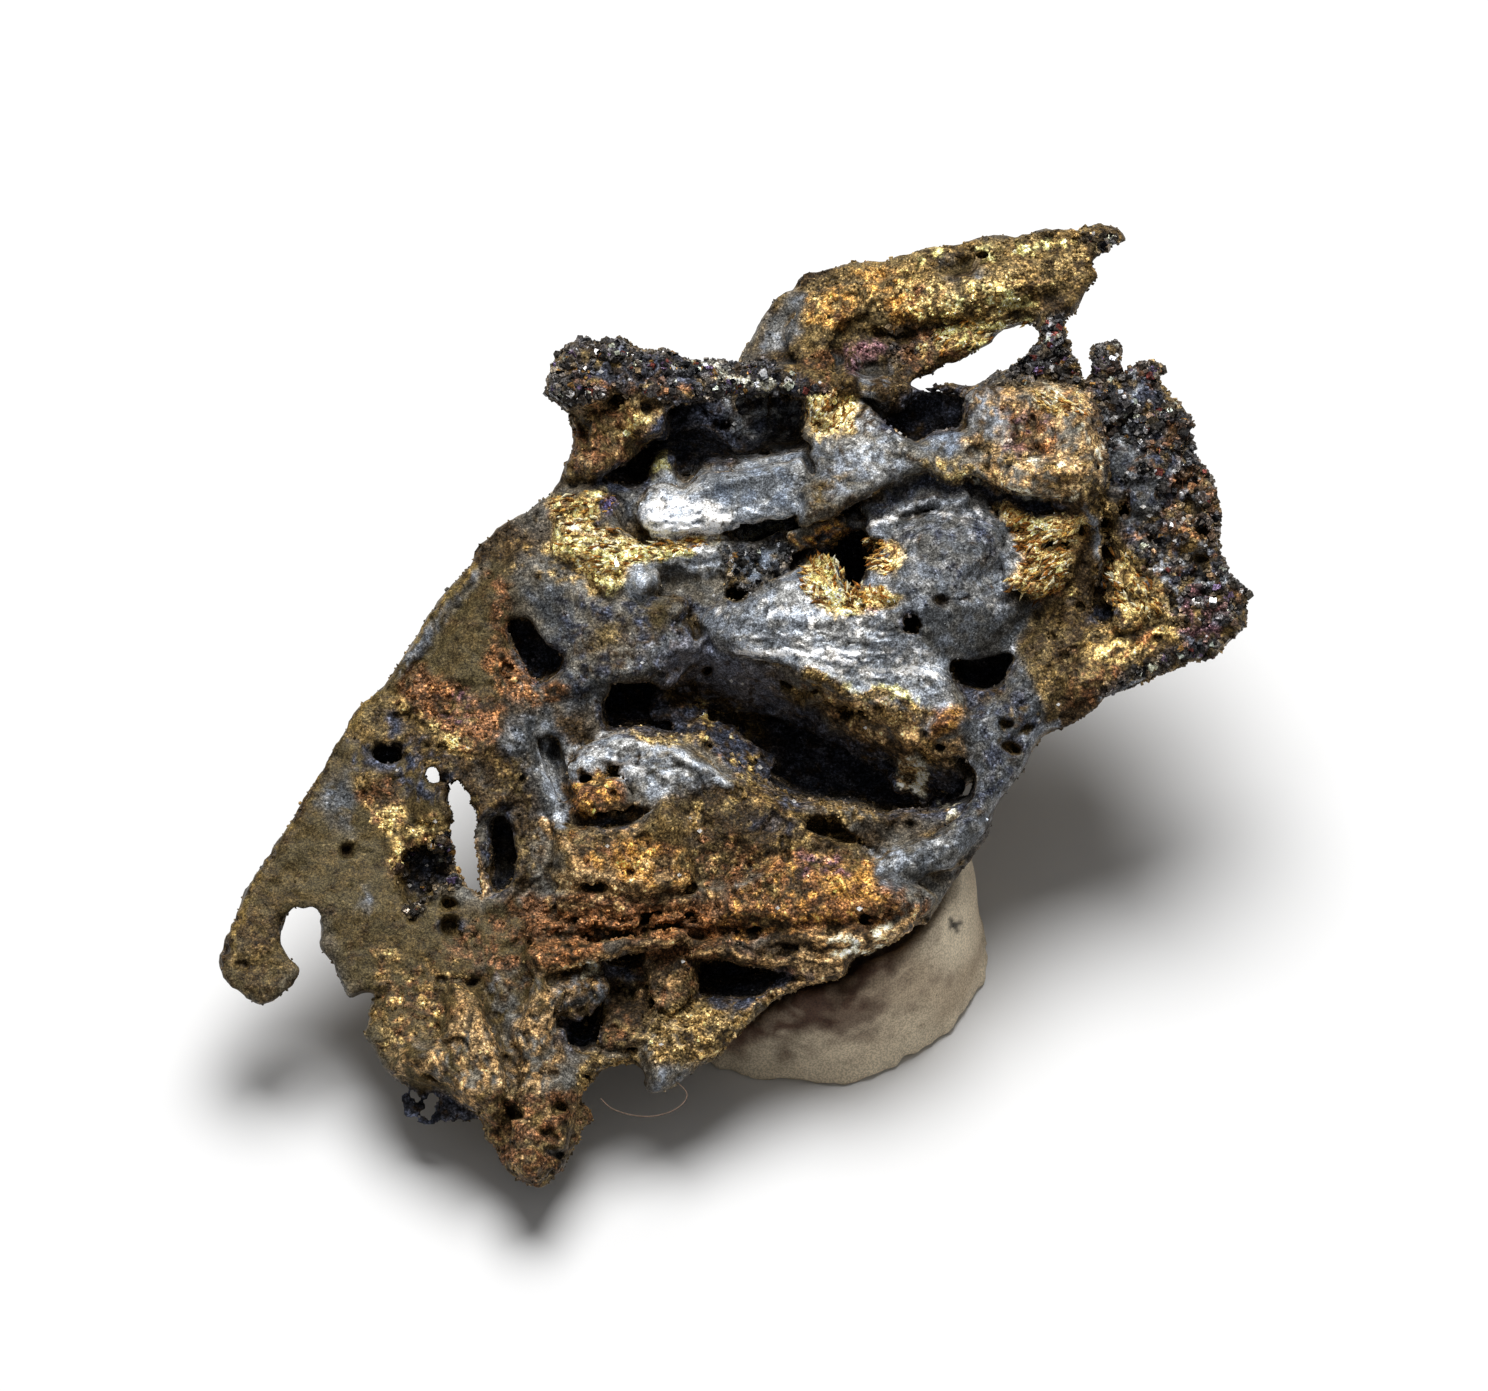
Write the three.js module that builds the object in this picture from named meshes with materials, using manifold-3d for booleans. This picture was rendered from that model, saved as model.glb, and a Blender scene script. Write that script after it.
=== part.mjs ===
// A pyrite pseudomorph: a thin, tarnished crust of pyrite grown as overlapping blades, lumps and ragged
// shelves, full of pits, set on a small lump of pale putty. Millimetres, +Z up, resting on the XY plane.
import * as THREE from 'three';
import { mergeVertices } from 'three/addons/utils/BufferGeometryUtils.js';
import { TessellateModifier } from 'three/addons/modifiers/TessellateModifier.js';
import { ImprovedNoise } from 'three/addons/math/ImprovedNoise.js';
import Module from 'manifold-3d';

const wasm = await Module();
wasm.setup();

// The outlines below are seen along one viewing direction, looking down at the crust's face.
// Their points are picture points, x to the right and y down, and one point is pointSize millimetres.
const pointSize = 0.04;
const middlePoint = { x: 744, y: 695 };
const viewElevation = THREE.MathUtils.degToRad(45);

// Levels are millimetres above the crust's mean face, which leans away from the view by this much.
const faceLean = 0.38;
const puttyGap = 0.45;

// The hidden underside of every lobe on the face, inside the plate.
const buried = -0.3;
const tipClearance = 0.9;

// The surface is broken into facets between these lengths, and pushed about by a rolling roughness.
const facetLength = 5;
const finestEdge = 0.06;
const roughness = { size: 2.6, depth: 0.38, finerSize: 1.1, finerDepth: 0.16 };

// The left blade is smoother than the rest: the roughness grows from its calm share between these places,
// measured across the picture in a direction that slants with the blade.
const calmBlade = { share: 0.25, from: -13, to: -7, slant: 0.35 };

// The crust without its upper blade, at the level of its thin rim.
const rimPlate = {
  bottom: -0.95,
  top: 0.75,
  edge: 0,
  outline: [
    551, 357, 563, 346, 578, 338, 601, 341, 620, 336, 645, 350, 673, 355, 700, 361, 735, 362, 802, 358,
    870, 372, 911, 381, 928, 387, 942, 381, 975, 384, 998, 372, 1017, 363, 1033, 350, 1041, 338, 1037, 308,
    1064, 308, 1064, 338, 1072, 355, 1081, 363, 1088, 384, 1096, 371, 1101, 361, 1092, 357, 1100, 351,
    1107, 340, 1122, 344, 1123, 351, 1118, 362, 1120, 374, 1128, 377, 1135, 366, 1140, 360, 1153, 359,
    1162, 366, 1156, 376, 1165, 388, 1183, 405, 1191, 420, 1187, 432, 1200, 461, 1213, 477, 1223, 500,
    1216, 530, 1219, 552, 1228, 580, 1249, 593, 1244, 603, 1247, 615, 1240, 629, 1224, 639, 1212, 654,
    1195, 657, 1158, 671, 1130, 687, 1105, 694, 1096, 707, 1075, 721, 1042, 732, 1034, 742, 1022, 770,
    998, 802, 985, 835, 972, 858, 955, 875, 940, 900, 925, 921, 905, 926, 890, 941, 870, 953, 852, 956,
    842, 970, 800, 978, 775, 992, 750, 1018, 728, 1036, 714, 1054, 696, 1063, 675, 1082, 655, 1092,
    647, 1086, 648, 1070, 638, 1061, 620, 1062, 600, 1071, 585, 1086, 582, 1098, 598, 1112, 580, 1126,
    572, 1145, 562, 1165, 548, 1177, 537, 1182, 522, 1175, 506, 1162, 500, 1139, 487, 1134, 484, 1112,
    465, 1118, 440, 1122, 420, 1125, 411, 1114, 406, 1100, 396, 1084, 390, 1070, 379, 1056, 377, 1043,
    366, 1034, 374, 1018, 373, 1006, 382, 995, 374, 988, 350, 996, 345, 984, 333, 961, 319, 941,
    325, 928, 319, 911, 312, 909, 290, 911, 282, 930, 282, 945, 292, 960, 304, 967, 296, 981, 275, 999,
    264, 1003, 255, 999, 243, 989, 226, 975, 222, 955, 230, 930, 245, 892, 265, 860, 300, 812, 325, 768,
    342, 740, 358, 710, 382, 688, 410, 648, 440, 603, 461, 577, 473, 568, 478, 549, 497, 532, 530, 511,
    550, 494, 564, 474, 571, 450, 573, 430, 568, 409, 544, 391, 554, 372,
  ],
};

// Blades, shelves and lumps that stand on the plate, or hang below it, in the order of the picture.
const lobes = {
  upperBlade: {
    bottom: -2.1,
    top: -0.3,
    edge: 0.35,
    slope: [0.03, -0.05],
    outline: [
      735, 364, 744, 349, 762, 320, 776, 294, 781, 289, 792, 288, 802, 274, 842, 260, 880, 255, 950, 242,
      1000, 233, 1018, 234, 1045, 226, 1085, 223, 1103, 219, 1125, 227, 1132, 236, 1113, 243, 1105, 251,
      1096, 253, 1101, 274, 1088, 284, 1085, 297, 1070, 313, 1062, 320, 1050, 326, 1038, 320, 1022, 322,
      1003, 330, 987, 346, 950, 362, 930, 370, 911, 385, 870, 400, 800, 392, 760, 380,
    ],
  },
  bladeRidge: {
    top: 0.5,
    edge: 0.5,
    inset: 0.25,
    outline: [
      800, 372, 780, 330, 806, 290, 850, 280, 900, 276, 890, 300, 840, 322, 830, 350, 880, 362, 905, 375,
    ],
  },
  hornRidge: {
    top: 2.5,
    edge: 0.7,
    inset: 0.35,
    slope: [-0.05, -0.5],
    outline: [
      548, 391, 555, 359, 580, 341, 620, 339, 673, 358, 735, 366, 800, 366, 880, 378, 908, 390, 885, 400,
      800, 397, 740, 387, 690, 403, 640, 399, 615, 393, 600, 403, 568, 404,
    ],
  },
  cavityWall: {
    top: 1.7,
    edge: 0.6,
    slope: [-0.2, 0.1],
    outline: [
      572, 398, 600, 400, 640, 396, 672, 408, 668, 432, 640, 440, 622, 470, 592, 480, 566, 476, 574, 450,
    ],
  },
  silverShelf: {
    top: 2.3,
    edge: 0.45,
    slope: [0.06, 0.05],
    outline: [
      638, 500, 650, 482, 672, 482, 684, 490, 702, 471, 735, 470, 775, 462, 797, 460, 812, 480, 797, 515,
      760, 525, 740, 525, 720, 534, 690, 535, 652, 539, 636, 521,
    ],
  },
  goldShoulder: {
    top: 1.7,
    edge: 0.5,
    slope: [-0.05, 0.12],
    outline: [
      552, 552, 558, 496, 600, 484, 614, 490, 606, 506, 625, 530, 650, 536, 720, 533, 734, 545, 735, 566,
      712, 576, 660, 572, 654, 592, 638, 597, 606, 592, 590, 576,
    ],
  },
  brow: {
    top: 3.1,
    edge: 0.5,
    slope: [0.02, -0.28],
    outline: [
      797, 440, 806, 400, 860, 396, 905, 432, 930, 428, 965, 392, 985, 382, 1040, 376, 1090, 388, 1110, 440,
      1106, 488, 1085, 499, 1060, 491, 1030, 490, 1003, 486, 985, 473, 968, 470, 948, 481, 928, 471,
      900, 475, 870, 493, 830, 517, 797, 530, 797, 512, 822, 482, 815, 462,
    ],
  },
  browStep: {
    top: 3.7,
    edge: 0.5,
    slope: [0.05, -0.2],
    outline: [1010, 486, 1005, 455, 1030, 420, 1062, 405, 1092, 412, 1100, 450, 1098, 480, 1060, 486],
  },
  goldNest: {
    top: 1.3,
    edge: 0.5,
    slope: [0.12, 0.1],
    outline: [1003, 510, 1040, 524, 1062, 512, 1082, 516, 1086, 545, 1070, 580, 1050, 604, 1008, 588],
  },
  rightCluster: {
    top: 1,
    edge: 0.6,
    slope: [-0.25, -0.05],
    outline: [
      1094, 400, 1130, 382, 1160, 388, 1188, 425, 1196, 460, 1216, 500, 1210, 530, 1214, 556, 1222, 582,
      1244, 598, 1238, 622, 1208, 650, 1176, 650, 1166, 612, 1128, 618, 1124, 560, 1114, 482,
    ],
  },
  goldWing: {
    top: 1.2,
    edge: 0.5,
    slope: [-0.1, -0.25],
    outline: [
      1076, 644, 1096, 624, 1112, 636, 1160, 613, 1176, 640, 1166, 662, 1105, 690, 1066, 706, 1060, 674,
    ],
  },
  rightRim: {
    top: 1.7,
    edge: 0.6,
    inset: 0.35,
    slope: [-0.15, 0],
    outline: [
      1048, 612, 1075, 600, 1090, 625, 1072, 650, 1066, 690, 1040, 730, 1020, 768, 996, 800, 983, 832,
      952, 868, 900, 882, 872, 862, 905, 850, 960, 812, 975, 790, 962, 750, 965, 720, 1003, 692, 1018, 655,
    ],
  },
  leftShoulder: {
    top: 1.4,
    edge: 0.5,
    slope: [0.1, 0.02],
    outline: [
      472, 592, 520, 540, 556, 552, 600, 596, 690, 600, 700, 650, 640, 680, 560, 700, 500, 735, 430, 700,
      412, 668,
    ],
  },
  domeLip: {
    top: 2.1,
    edge: 0.6,
    slope: [0, 0.15],
    outline: [
      860, 700, 880, 680, 905, 655, 945, 660, 950, 680, 960, 696, 966, 722, 950, 746, 915, 737, 872, 716,
    ],
  },
  silverBump: {
    top: 2.3,
    edge: 0.6,
    slope: [0, 0.1],
    outline: [
      566, 792, 562, 765, 585, 742, 612, 737, 640, 732, 690, 748, 722, 770, 705, 786, 650, 782, 620, 772,
      590, 778,
    ],
  },
  orangeKnob: {
    top: 2.9,
    edge: 0.6,
    outline: [572, 806, 578, 786, 600, 776, 626, 782, 634, 800, 630, 812, 598, 815],
  },
  apron: {
    top: 2.7,
    edge: 0.5,
    slope: [0.03, 0.1],
    outline: [
      556, 828, 600, 827, 640, 822, 664, 800, 690, 820, 694, 888, 640, 894, 600, 888, 570, 894, 554, 878,
    ],
  },
  midSlope: {
    top: 1.9,
    edge: 0.6,
    slope: [-0.08, 0.1],
    outline: [
      690, 790, 740, 772, 775, 795, 800, 810, 845, 813, 870, 838, 866, 862, 800, 862, 740, 872, 694, 886,
      688, 830,
    ],
  },
  copperBand: {
    top: 2.3,
    edge: 0.6,
    slope: [0.02, 0.15],
    outline: [
      524, 914, 600, 900, 700, 893, 735, 868, 790, 855, 870, 860, 906, 882, 940, 895, 920, 915, 880, 923,
      800, 925, 700, 922, 600, 928, 530, 938,
    ],
  },
  lowerRidge: {
    top: 2.5,
    edge: 0.45,
    inset: 0.18,
    outline: [525, 952, 545, 941, 600, 941, 680, 931, 690, 938, 640, 949, 600, 959, 560, 968, 530, 963],
  },
  frill: {
    top: 1.9,
    edge: 0.4,
    inset: 0.18,
    slope: [0.05, 0.25],
    outline: [
      690, 940, 760, 930, 800, 926, 900, 925, 922, 921, 890, 941, 854, 954, 840, 970, 800, 976, 740, 964,
      700, 956,
    ],
  },
  lowerWing: {
    top: 1.3,
    edge: 0.4,
    inset: 0.18,
    slope: [-0.05, -0.1],
    outline: [
      650, 1000, 700, 1010, 735, 1012, 770, 990, 800, 980, 752, 1014, 716, 1050, 694, 1060, 656, 1086,
      652, 1062, 640, 1040,
    ],
  },
  leftFold: {
    top: 2,
    edge: 0.6,
    inset: 0.35,
    slope: [0.25, 0.05],
    outline: [
      452, 975, 476, 990, 494, 1030, 505, 1086, 498, 1132, 484, 1110, 440, 1078, 398, 1062, 402, 1046,
      440, 1030,
    ],
  },
  rightFold: {
    top: 2.2,
    edge: 0.6,
    inset: 0.25,
    slope: [-0.25, 0.05],
    outline: [
      536, 985, 562, 985, 556, 1030, 580, 1050, 632, 1050, 618, 1061, 598, 1069, 583, 1088, 572, 1140,
      540, 1178, 509, 1158, 516, 1100, 526, 1045,
    ],
  },
  lowerFoot: {
    top: 2,
    edge: 0.7,
    outline: [510, 1158, 512, 1128, 540, 1110, 572, 1130, 562, 1162, 537, 1179],
  },
};

// Rounded swellings: a stretched ball at a picture point, kept inside its outline where it has one.
const swellings = [
  { name: 'domeFront', at: [860, 612], level: -0.4, radii: [7.4, 4.2, 3.7], turn: 14, outline: [
    722, 600, 770, 580, 812, 560, 845, 545, 868, 525, 893, 505, 930, 494, 965, 491, 1000, 503, 1022, 540,
    1030, 562, 1044, 600, 1050, 622, 1015, 655, 962, 660, 945, 680, 962, 722, 950, 746, 915, 736, 865, 715,
    835, 692, 790, 668, 720, 652, 700, 635, 705, 612] },
  { name: 'domeCrest', at: [935, 560], level: 0.4, radii: [3.6, 2.2, 3], turn: 20 },
  { name: 'bladeSwell', at: [965, 290], level: -1.6, radii: [6.6, 1.6, 2.2], turn: 14 },
  { name: 'shoulderSwell', at: [470, 760], level: -0.6, radii: [3, 4.6, 2.2], turn: -28 },
  { name: 'hookSwell', at: [258, 925], level: -0.5, radii: [0.9, 2.6, 1.3], turn: -24 },
  { name: 'goldKnob', at: [612, 580], level: 1.4, radii: [0.9, 0.7, 0.9], turn: 0 },
  { name: 'paleKnob', at: [642, 577], level: 1.3, radii: [0.9, 0.8, 1], turn: 0 },
  { name: 'orangeLump', at: [946, 724], level: 1.8, radii: [1, 0.7, 0.9], turn: 20 },
  { name: 'wallNodule', at: [640, 420], level: 1.5, radii: [1.2, 0.8, 1], turn: 0 },
];

// What thickens the crust behind its face, out of sight: the hollow middle's outer wall and lumps.
const backLobes = {
  bodyBack: {
    bottom: -2.6,
    top: 0.4,
    edge: 1.2,
    outline: [
      500, 560, 560, 500, 600, 400, 745, 385, 900, 395, 1080, 400, 1190, 470, 1205, 600, 1150, 660,
      1030, 730, 970, 830, 900, 915, 800, 955, 700, 1030, 620, 1040, 555, 1130, 520, 1120, 480, 1020,
      474, 820, 500, 700, 470, 620,
    ],
  },
  coreBack: {
    bottom: -6.6,
    top: 0.4,
    edge: 2.2,
    outline: [
      535, 600, 560, 520, 600, 440, 760, 400, 1010, 410, 1090, 480, 1096, 600, 1040, 700, 985, 785, 900,
      838, 700, 820, 560, 760,
    ],
  },
  topBack: {
    bottom: -5,
    top: 0.4,
    edge: 1,
    outline: [590, 372, 740, 378, 880, 392, 830, 470, 640, 500, 588, 470],
  },
  slotBack: {
    bottom: -3.6,
    top: 0.4,
    edge: 0.8,
    outline: [468, 800, 540, 780, 640, 800, 660, 900, 640, 1000, 560, 1060, 520, 1000, 472, 915],
  },
  bladeBack: {
    bottom: -2.2,
    top: 0.4,
    edge: 0.7,
    outline: [
      340, 790, 372, 732, 405, 706, 455, 640, 500, 560, 562, 590, 566, 720, 505, 770, 478, 905, 462, 975,
      420, 985, 385, 935, 372, 870, 345, 830,
    ],
  },
  gapBack: {
    bottom: -3.8,
    top: 0.4,
    edge: 0.6,
    inset: 0.3,
    outline: [866, 378, 911, 386, 930, 392, 942, 386, 975, 389, 1000, 380, 1010, 450, 900, 470, 850, 430],
  },
  wingBack: {
    bottom: -4.6,
    top: 0.4,
    edge: 0.9,
    inset: 0.5,
    outline: [660, 940, 760, 950, 835, 955, 790, 975, 740, 1012, 690, 1020, 655, 990],
  },
};
const backSwellings = [
  { name: 'coreLump', at: [900, 560], level: -5.2, radii: [6.2, 4.6, 3], turn: 20 },
  { name: 'sideLump', at: [700, 660], level: -4.8, radii: [4.4, 3.8, 3], turn: -10 },
  { name: 'highLump', at: [720, 460], level: -4, radii: [3.6, 2.4, 2.4], turn: 0 },
  { name: 'farLump', at: [1130, 520], level: -2.6, radii: [2.6, 4, 2.2], turn: 10 },
  { name: 'lowLump', at: [600, 900], level: -2.8, radii: [3.4, 2.6, 1.9], turn: 30 },
  { name: 'edgeLump', at: [480, 700], level: -1.8, radii: [2.2, 3.2, 1.7], turn: -30 },
  { name: 'armLump', at: [860, 330], level: -2, radii: [3.4, 1.7, 1.7], turn: 12 },
];
const backHollows = [
  { name: 'coreHollow', at: [820, 610], level: -8.6, radii: [3, 2.2, 2.6], turn: 30 },
  { name: 'highHollow', at: [1010, 470], level: -7.4, radii: [2.4, 1.8, 2.4], turn: 0 },
  { name: 'sideHollow', at: [620, 560], level: -5.8, radii: [2.2, 2.2, 2.2], turn: 0 },
  { name: 'cornerHollow', at: [1180, 590], level: -4.4, radii: [1.8, 2.2, 1.9], turn: 0 },
];

// Pits, caves and cracks: cut from their rim down to their floor, leaning under the ledge above them.
const pits = {
  upperCavity: {
    rim: 2.2,
    floor: -3.6,
    inset: 0.18,
    lean: [0, 0.12],
    outline: [
      662, 405, 690, 402, 740, 388, 800, 398, 805, 420, 797, 438, 815, 445, 800, 455, 776, 458, 740, 468,
      705, 466, 696, 476, 686, 488, 676, 480, 672, 458, 660, 456, 650, 470, 648, 486, 635, 492, 612, 486,
      592, 480, 600, 474, 624, 468, 645, 445, 668, 436,
    ],
  },
  pocket: {
    rim: 2,
    floor: -3,
    lean: [0, 0.3],
    outline: [
      722, 536, 740, 527, 795, 522, 790, 538, 812, 545, 808, 560, 790, 572, 770, 578, 745, 597, 731, 592,
      736, 570, 733, 548,
    ],
  },
  crevice: {
    rim: 2.6,
    floor: -1.8,
    inset: 0.08,
    lean: [0, 0.35],
    outline: [
      797, 534, 830, 520, 872, 498, 902, 480, 928, 476, 948, 485, 968, 475, 985, 478, 1003, 490, 1060, 496,
      1085, 505, 1083, 516, 1050, 511, 1040, 520, 1020, 508, 1000, 500, 960, 490, 930, 492, 890, 503,
      868, 522, 840, 534, 812, 546,
    ],
  },
  groove: {
    rim: 1.4,
    floor: -0.9,
    lean: [0, 0],
    outline: [1092, 505, 1104, 498, 1117, 560, 1108, 600, 1122, 622, 1104, 632, 1088, 612, 1098, 560],
  },
  bigCavity: {
    rim: 2,
    floor: -4.5,
    lean: [0.04, 0.08],
    outline: [
      598, 712, 612, 684, 650, 686, 664, 694, 690, 668, 722, 656, 760, 672, 790, 672, 835, 697, 865, 720,
      915, 740, 955, 752, 975, 778, 968, 800, 935, 815, 880, 820, 845, 806, 800, 806, 770, 790, 735, 762,
      700, 737, 660, 738, 640, 728, 606, 736,
    ],
  },
  copperRecess: {
    rim: 2.6,
    floor: 1,
    lean: [0, 0],
    outline: [524, 912, 560, 899, 640, 897, 716, 893, 718, 912, 640, 917, 560, 921, 530, 926],
  },
  lowerRecess: {
    rim: 1.2,
    floor: -0.4,
    lean: [0, 0],
    outline: [560, 986, 650, 980, 664, 992, 644, 1020, 640, 1044, 590, 1044, 560, 1040, 566, 1010],
  },
  lowerCave: {
    rim: 1.6,
    floor: -3.4,
    lean: [0, 0.25],
    outline: [697, 1002, 700, 972, 720, 966, 760, 970, 812, 974, 780, 984, 757, 1000, 735, 1008],
  },
  smallCave: {
    rim: 1.6,
    floor: -1.6,
    lean: [0, 0.3],
    outline: [604, 976, 610, 958, 630, 953, 646, 958, 640, 974],
  },
  deepNook: {
    rim: 1.2,
    floor: -2,
    lean: [0, 0.1],
    outline: [560, 1038, 568, 1018, 590, 1010, 597, 1028, 576, 1042],
  },
  domeHole: {
    rim: 3,
    floor: -3.6,
    lean: [0.05, 0.05],
    outline: [820, 558, 832, 545, 845, 532, 868, 532, 872, 555, 862, 578, 852, 594, 842, 588, 838, 570],
  },
  roundPit: {
    rim: 3,
    floor: -0.6,
    lean: [0, 0],
    outline: [899, 625, 903, 614, 914, 612, 921, 620, 919, 632, 909, 637, 901, 634],
  },
  cornerHole: {
    rim: 2.4,
    floor: -2.8,
    lean: [0, 0.1],
    outline: [950, 674, 957, 663, 985, 663, 1016, 655, 1010, 676, 1003, 690, 985, 696, 962, 690],
  },
  topHole: {
    rim: 2.4,
    floor: -2.6,
    lean: [0, 0],
    outline: [
      885, 424, 882, 412, 902, 408, 916, 393, 958, 391, 968, 404, 960, 428, 935, 430, 918, 442, 905, 438,
    ],
  },
  leftPit: {
    rim: 1.4,
    floor: -1.5,
    lean: [0, 0.1],
    outline: [504, 628, 512, 618, 526, 619, 545, 645, 562, 652, 562, 670, 540, 688, 528, 680, 515, 650],
  },
  slotRecess: {
    rim: 0.7,
    floor: -0.7,
    lean: [0, 0],
    outline: [400, 880, 404, 852, 424, 840, 440, 850, 452, 862, 454, 878, 440, 890, 425, 902, 414, 912],
  },
  slotCave: {
    rim: 1.2,
    floor: -2.1,
    lean: [0.1, 0],
    outline: [486, 826, 490, 812, 506, 815, 518, 840, 520, 870, 508, 892, 497, 897, 488, 884],
  },
  channel: {
    rim: 1.4,
    floor: -0.2,
    lean: [0.1, 0],
    outline: [536, 735, 552, 742, 562, 770, 566, 800, 556, 822, 546, 790, 538, 760],
  },
  bladePit: {
    rim: 0.8,
    floor: -0.9,
    lean: [0, 0],
    outline: [370, 752, 384, 744, 402, 747, 404, 760, 384, 768],
  },
  knobSlit: {
    rim: 2.4,
    floor: -1,
    inset: 0.15,
    lean: [0, 0.3],
    outline: [594, 818, 630, 812, 634, 823, 600, 828],
  },
  shelfGap: {
    rim: 2.2,
    floor: 0.2,
    lean: [0, 0.1],
    outline: [806, 818, 842, 824, 876, 842, 872, 852, 838, 846, 800, 834],
  },
  shadedCorner: {
    rim: 2,
    floor: -0.2,
    lean: [0, 0],
    outline: [384, 1084, 396, 1074, 440, 1084, 482, 1112, 492, 1140, 440, 1150, 384, 1130],
  },
};
const pitEdge = 0.35;

// A chamfer reaches inwards by these shares of its height, on lobes and on pits, where no inset is given.
const lobeInset = 0.8;
const pitInset = 0.7;

// Balls smaller than this are knobs, with fewer faces.
const knobRadius = 1.5;

// Longer than the crust is thick anywhere.
const throughAll = 24;

// Each pit is this much wider than its outline, so that its wall never lies in the wall of a lobe.
const pitMargin = 0.03;

// Openings that go right through the crust.
const openings = {
  pinhole: [427, 775, 433, 770, 440, 777, 434, 787],
  slot: [
    446, 788, 457, 785, 469, 796, 482, 812, 476, 835, 477, 862, 484, 893, 470, 890, 457, 872, 452, 850,
    450, 822, 459, 805,
  ],
};

// Small cubic crystals with flat faces that cover some places, fused into what they grow on.
const crystalSeed = 13;
const crystalPatches = [
  { count: 15, size: [0.8, 1.4], level: 1, within: lobes.rightCluster.outline },
  { count: 7, size: [0.8, 1.2], level: 1.9, within: lobes.hornRidge.outline },
  { count: 3, size: [0.6, 1], level: 1.7, within: lobes.cavityWall.outline },
  { count: 3, size: [0.6, 1], level: 1.7, within: lobes.rightFold.outline },
  { count: 4, size: [0.5, 0.9], level: 0, within: lobes.bladeRidge.outline },
];

// A crystal sits about this share of its side below the level of its patch, give or take the spread.
const crystalSink = 0.05;
const crystalSpread = 0.5;

// The lump of putty: half of its side profile, as radius and height, and where it stands.
const putty = {
  at: { x: 812, y: 958 },
  squash: [1, 1.02],
  profile: [0, 0, 6.5, 0, 6.95, 0.25, 6.85, 0.9, 6.75, 2.4, 6.6, 4.2, 6.1, 5.6, 4.8, 6.5, 0, 6.9],
  sides: 34,
  wobble: 0.28,
};

// How wide and how high the bulges of its wall are.
const wobbleScale = { around: 3, height: 2.5 };

// The lobes and swellings that press into the putty.
const pressingLobes = [
  lobes.rightRim, lobes.frill, lobes.copperBand, lobes.midSlope, lobes.apron, lobes.lowerWing,
  lobes.lowerRidge, ...Object.values(backLobes),
];
const pressingSwellings = backSwellings.filter(({ name }) => ['sideLump', 'lowLump'].includes(name));

// A point of the picture as millimetres right and up from its middle.
function inPicture(x, y) {
  return new THREE.Vector2((x - middlePoint.x) * pointSize, (middlePoint.y - y) * pointSize);
}

function shapeOf(outline) {
  const points = [];
  for (let i = 0; i < outline.length; i += 2) {
    points.push(inPicture(outline[i], outline[i + 1]));
  }
  return new THREE.Shape(points);
}

function middleOf(outline) {
  const box = new THREE.Box2().setFromPoints(shapeOf(outline).getPoints());
  return box.getCenter(new THREE.Vector2());
}

function toSolid(geometry) {
  geometry.deleteAttribute('normal');
  geometry.deleteAttribute('uv');
  const merged = mergeVertices(geometry, 1e-4);
  const vertProperties = new Float32Array(merged.attributes.position.array);
  const triVerts = new Uint32Array(merged.index.array);
  return new wasm.Manifold(new wasm.Mesh({ numProp: 3, vertProperties, triVerts, tolerance: finestEdge }));
}

// The body itself, without the crumbs that a cut can leave beside it.
function biggestPiece(solid) {
  return solid.decompose().reduce((kept, piece) => (piece.volume() > kept.volume() ? piece : kept));
}

function toGeometry(solid) {
  const mesh = solid.getMesh();
  const geometry = new THREE.BufferGeometry();
  geometry.setAttribute('position', new THREE.BufferAttribute(new Float32Array(mesh.vertProperties), 3));
  geometry.setIndex(new THREE.BufferAttribute(new Uint32Array(mesh.triVerts), 1));
  return geometry;
}

// Moves every corner of a geometry by a function of its place.
function moveCorners(geometry, move) {
  const position = geometry.attributes.position;
  const point = new THREE.Vector3();
  for (let i = 0; i < position.count; i += 1) {
    point.fromBufferAttribute(position, i);
    move(point);
    position.setXYZ(i, point.x, point.y, point.z);
  }
  return geometry;
}

// A flat lobe between two levels with chamfered edges, its upper face tilted by its slope.
function lobeSolid({ outline, top, edge, bottom = buried, inset, slope = [0, 0], grow = 0 }) {
  const bevelSize = inset ?? edge * lobeInset;
  const geometry = new THREE.ExtrudeGeometry(shapeOf(outline), {
    depth: top - bottom - 2 * edge,
    steps: 1,
    bevelEnabled: edge > 0,
    bevelThickness: edge,
    bevelSize,
    bevelOffset: grow - bevelSize,
    bevelSegments: 1,
  });
  const middle = middleOf(outline);
  geometry.translate(0, 0, bottom + edge);
  moveCorners(geometry, (point) => {
    if (point.z > (top + bottom) / 2) {
      point.z += slope[0] * (point.x - middle.x) + slope[1] * (point.y - middle.y);
    }
  });
  return toSolid(geometry);
}

// What a pit takes away: straight above its rim, and leaning from the rim down to a narrower floor.
function pitSolid({ outline, rim, floor, lean, inset = pitEdge * pitInset }) {
  const reach = rim - floor;
  const geometry = new THREE.ExtrudeGeometry(shapeOf(outline), {
    depth: 2 * reach,
    steps: 2,
    bevelThickness: pitEdge,
    bevelSize: inset,
    bevelOffset: pitMargin - inset,
    bevelSegments: 1,
  });
  geometry.translate(0, 0, floor);
  moveCorners(geometry, (point) => {
    const depth = Math.max(0, rim - point.z);
    point.x += lean[0] * depth;
    point.y += lean[1] * depth;
  });
  return toSolid(geometry);
}

function openingSolid(outline) {
  const geometry = new THREE.ExtrudeGeometry(shapeOf(outline), { depth: throughAll, bevelEnabled: false });
  geometry.translate(0, 0, -throughAll / 2);
  return toSolid(geometry);
}

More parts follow.
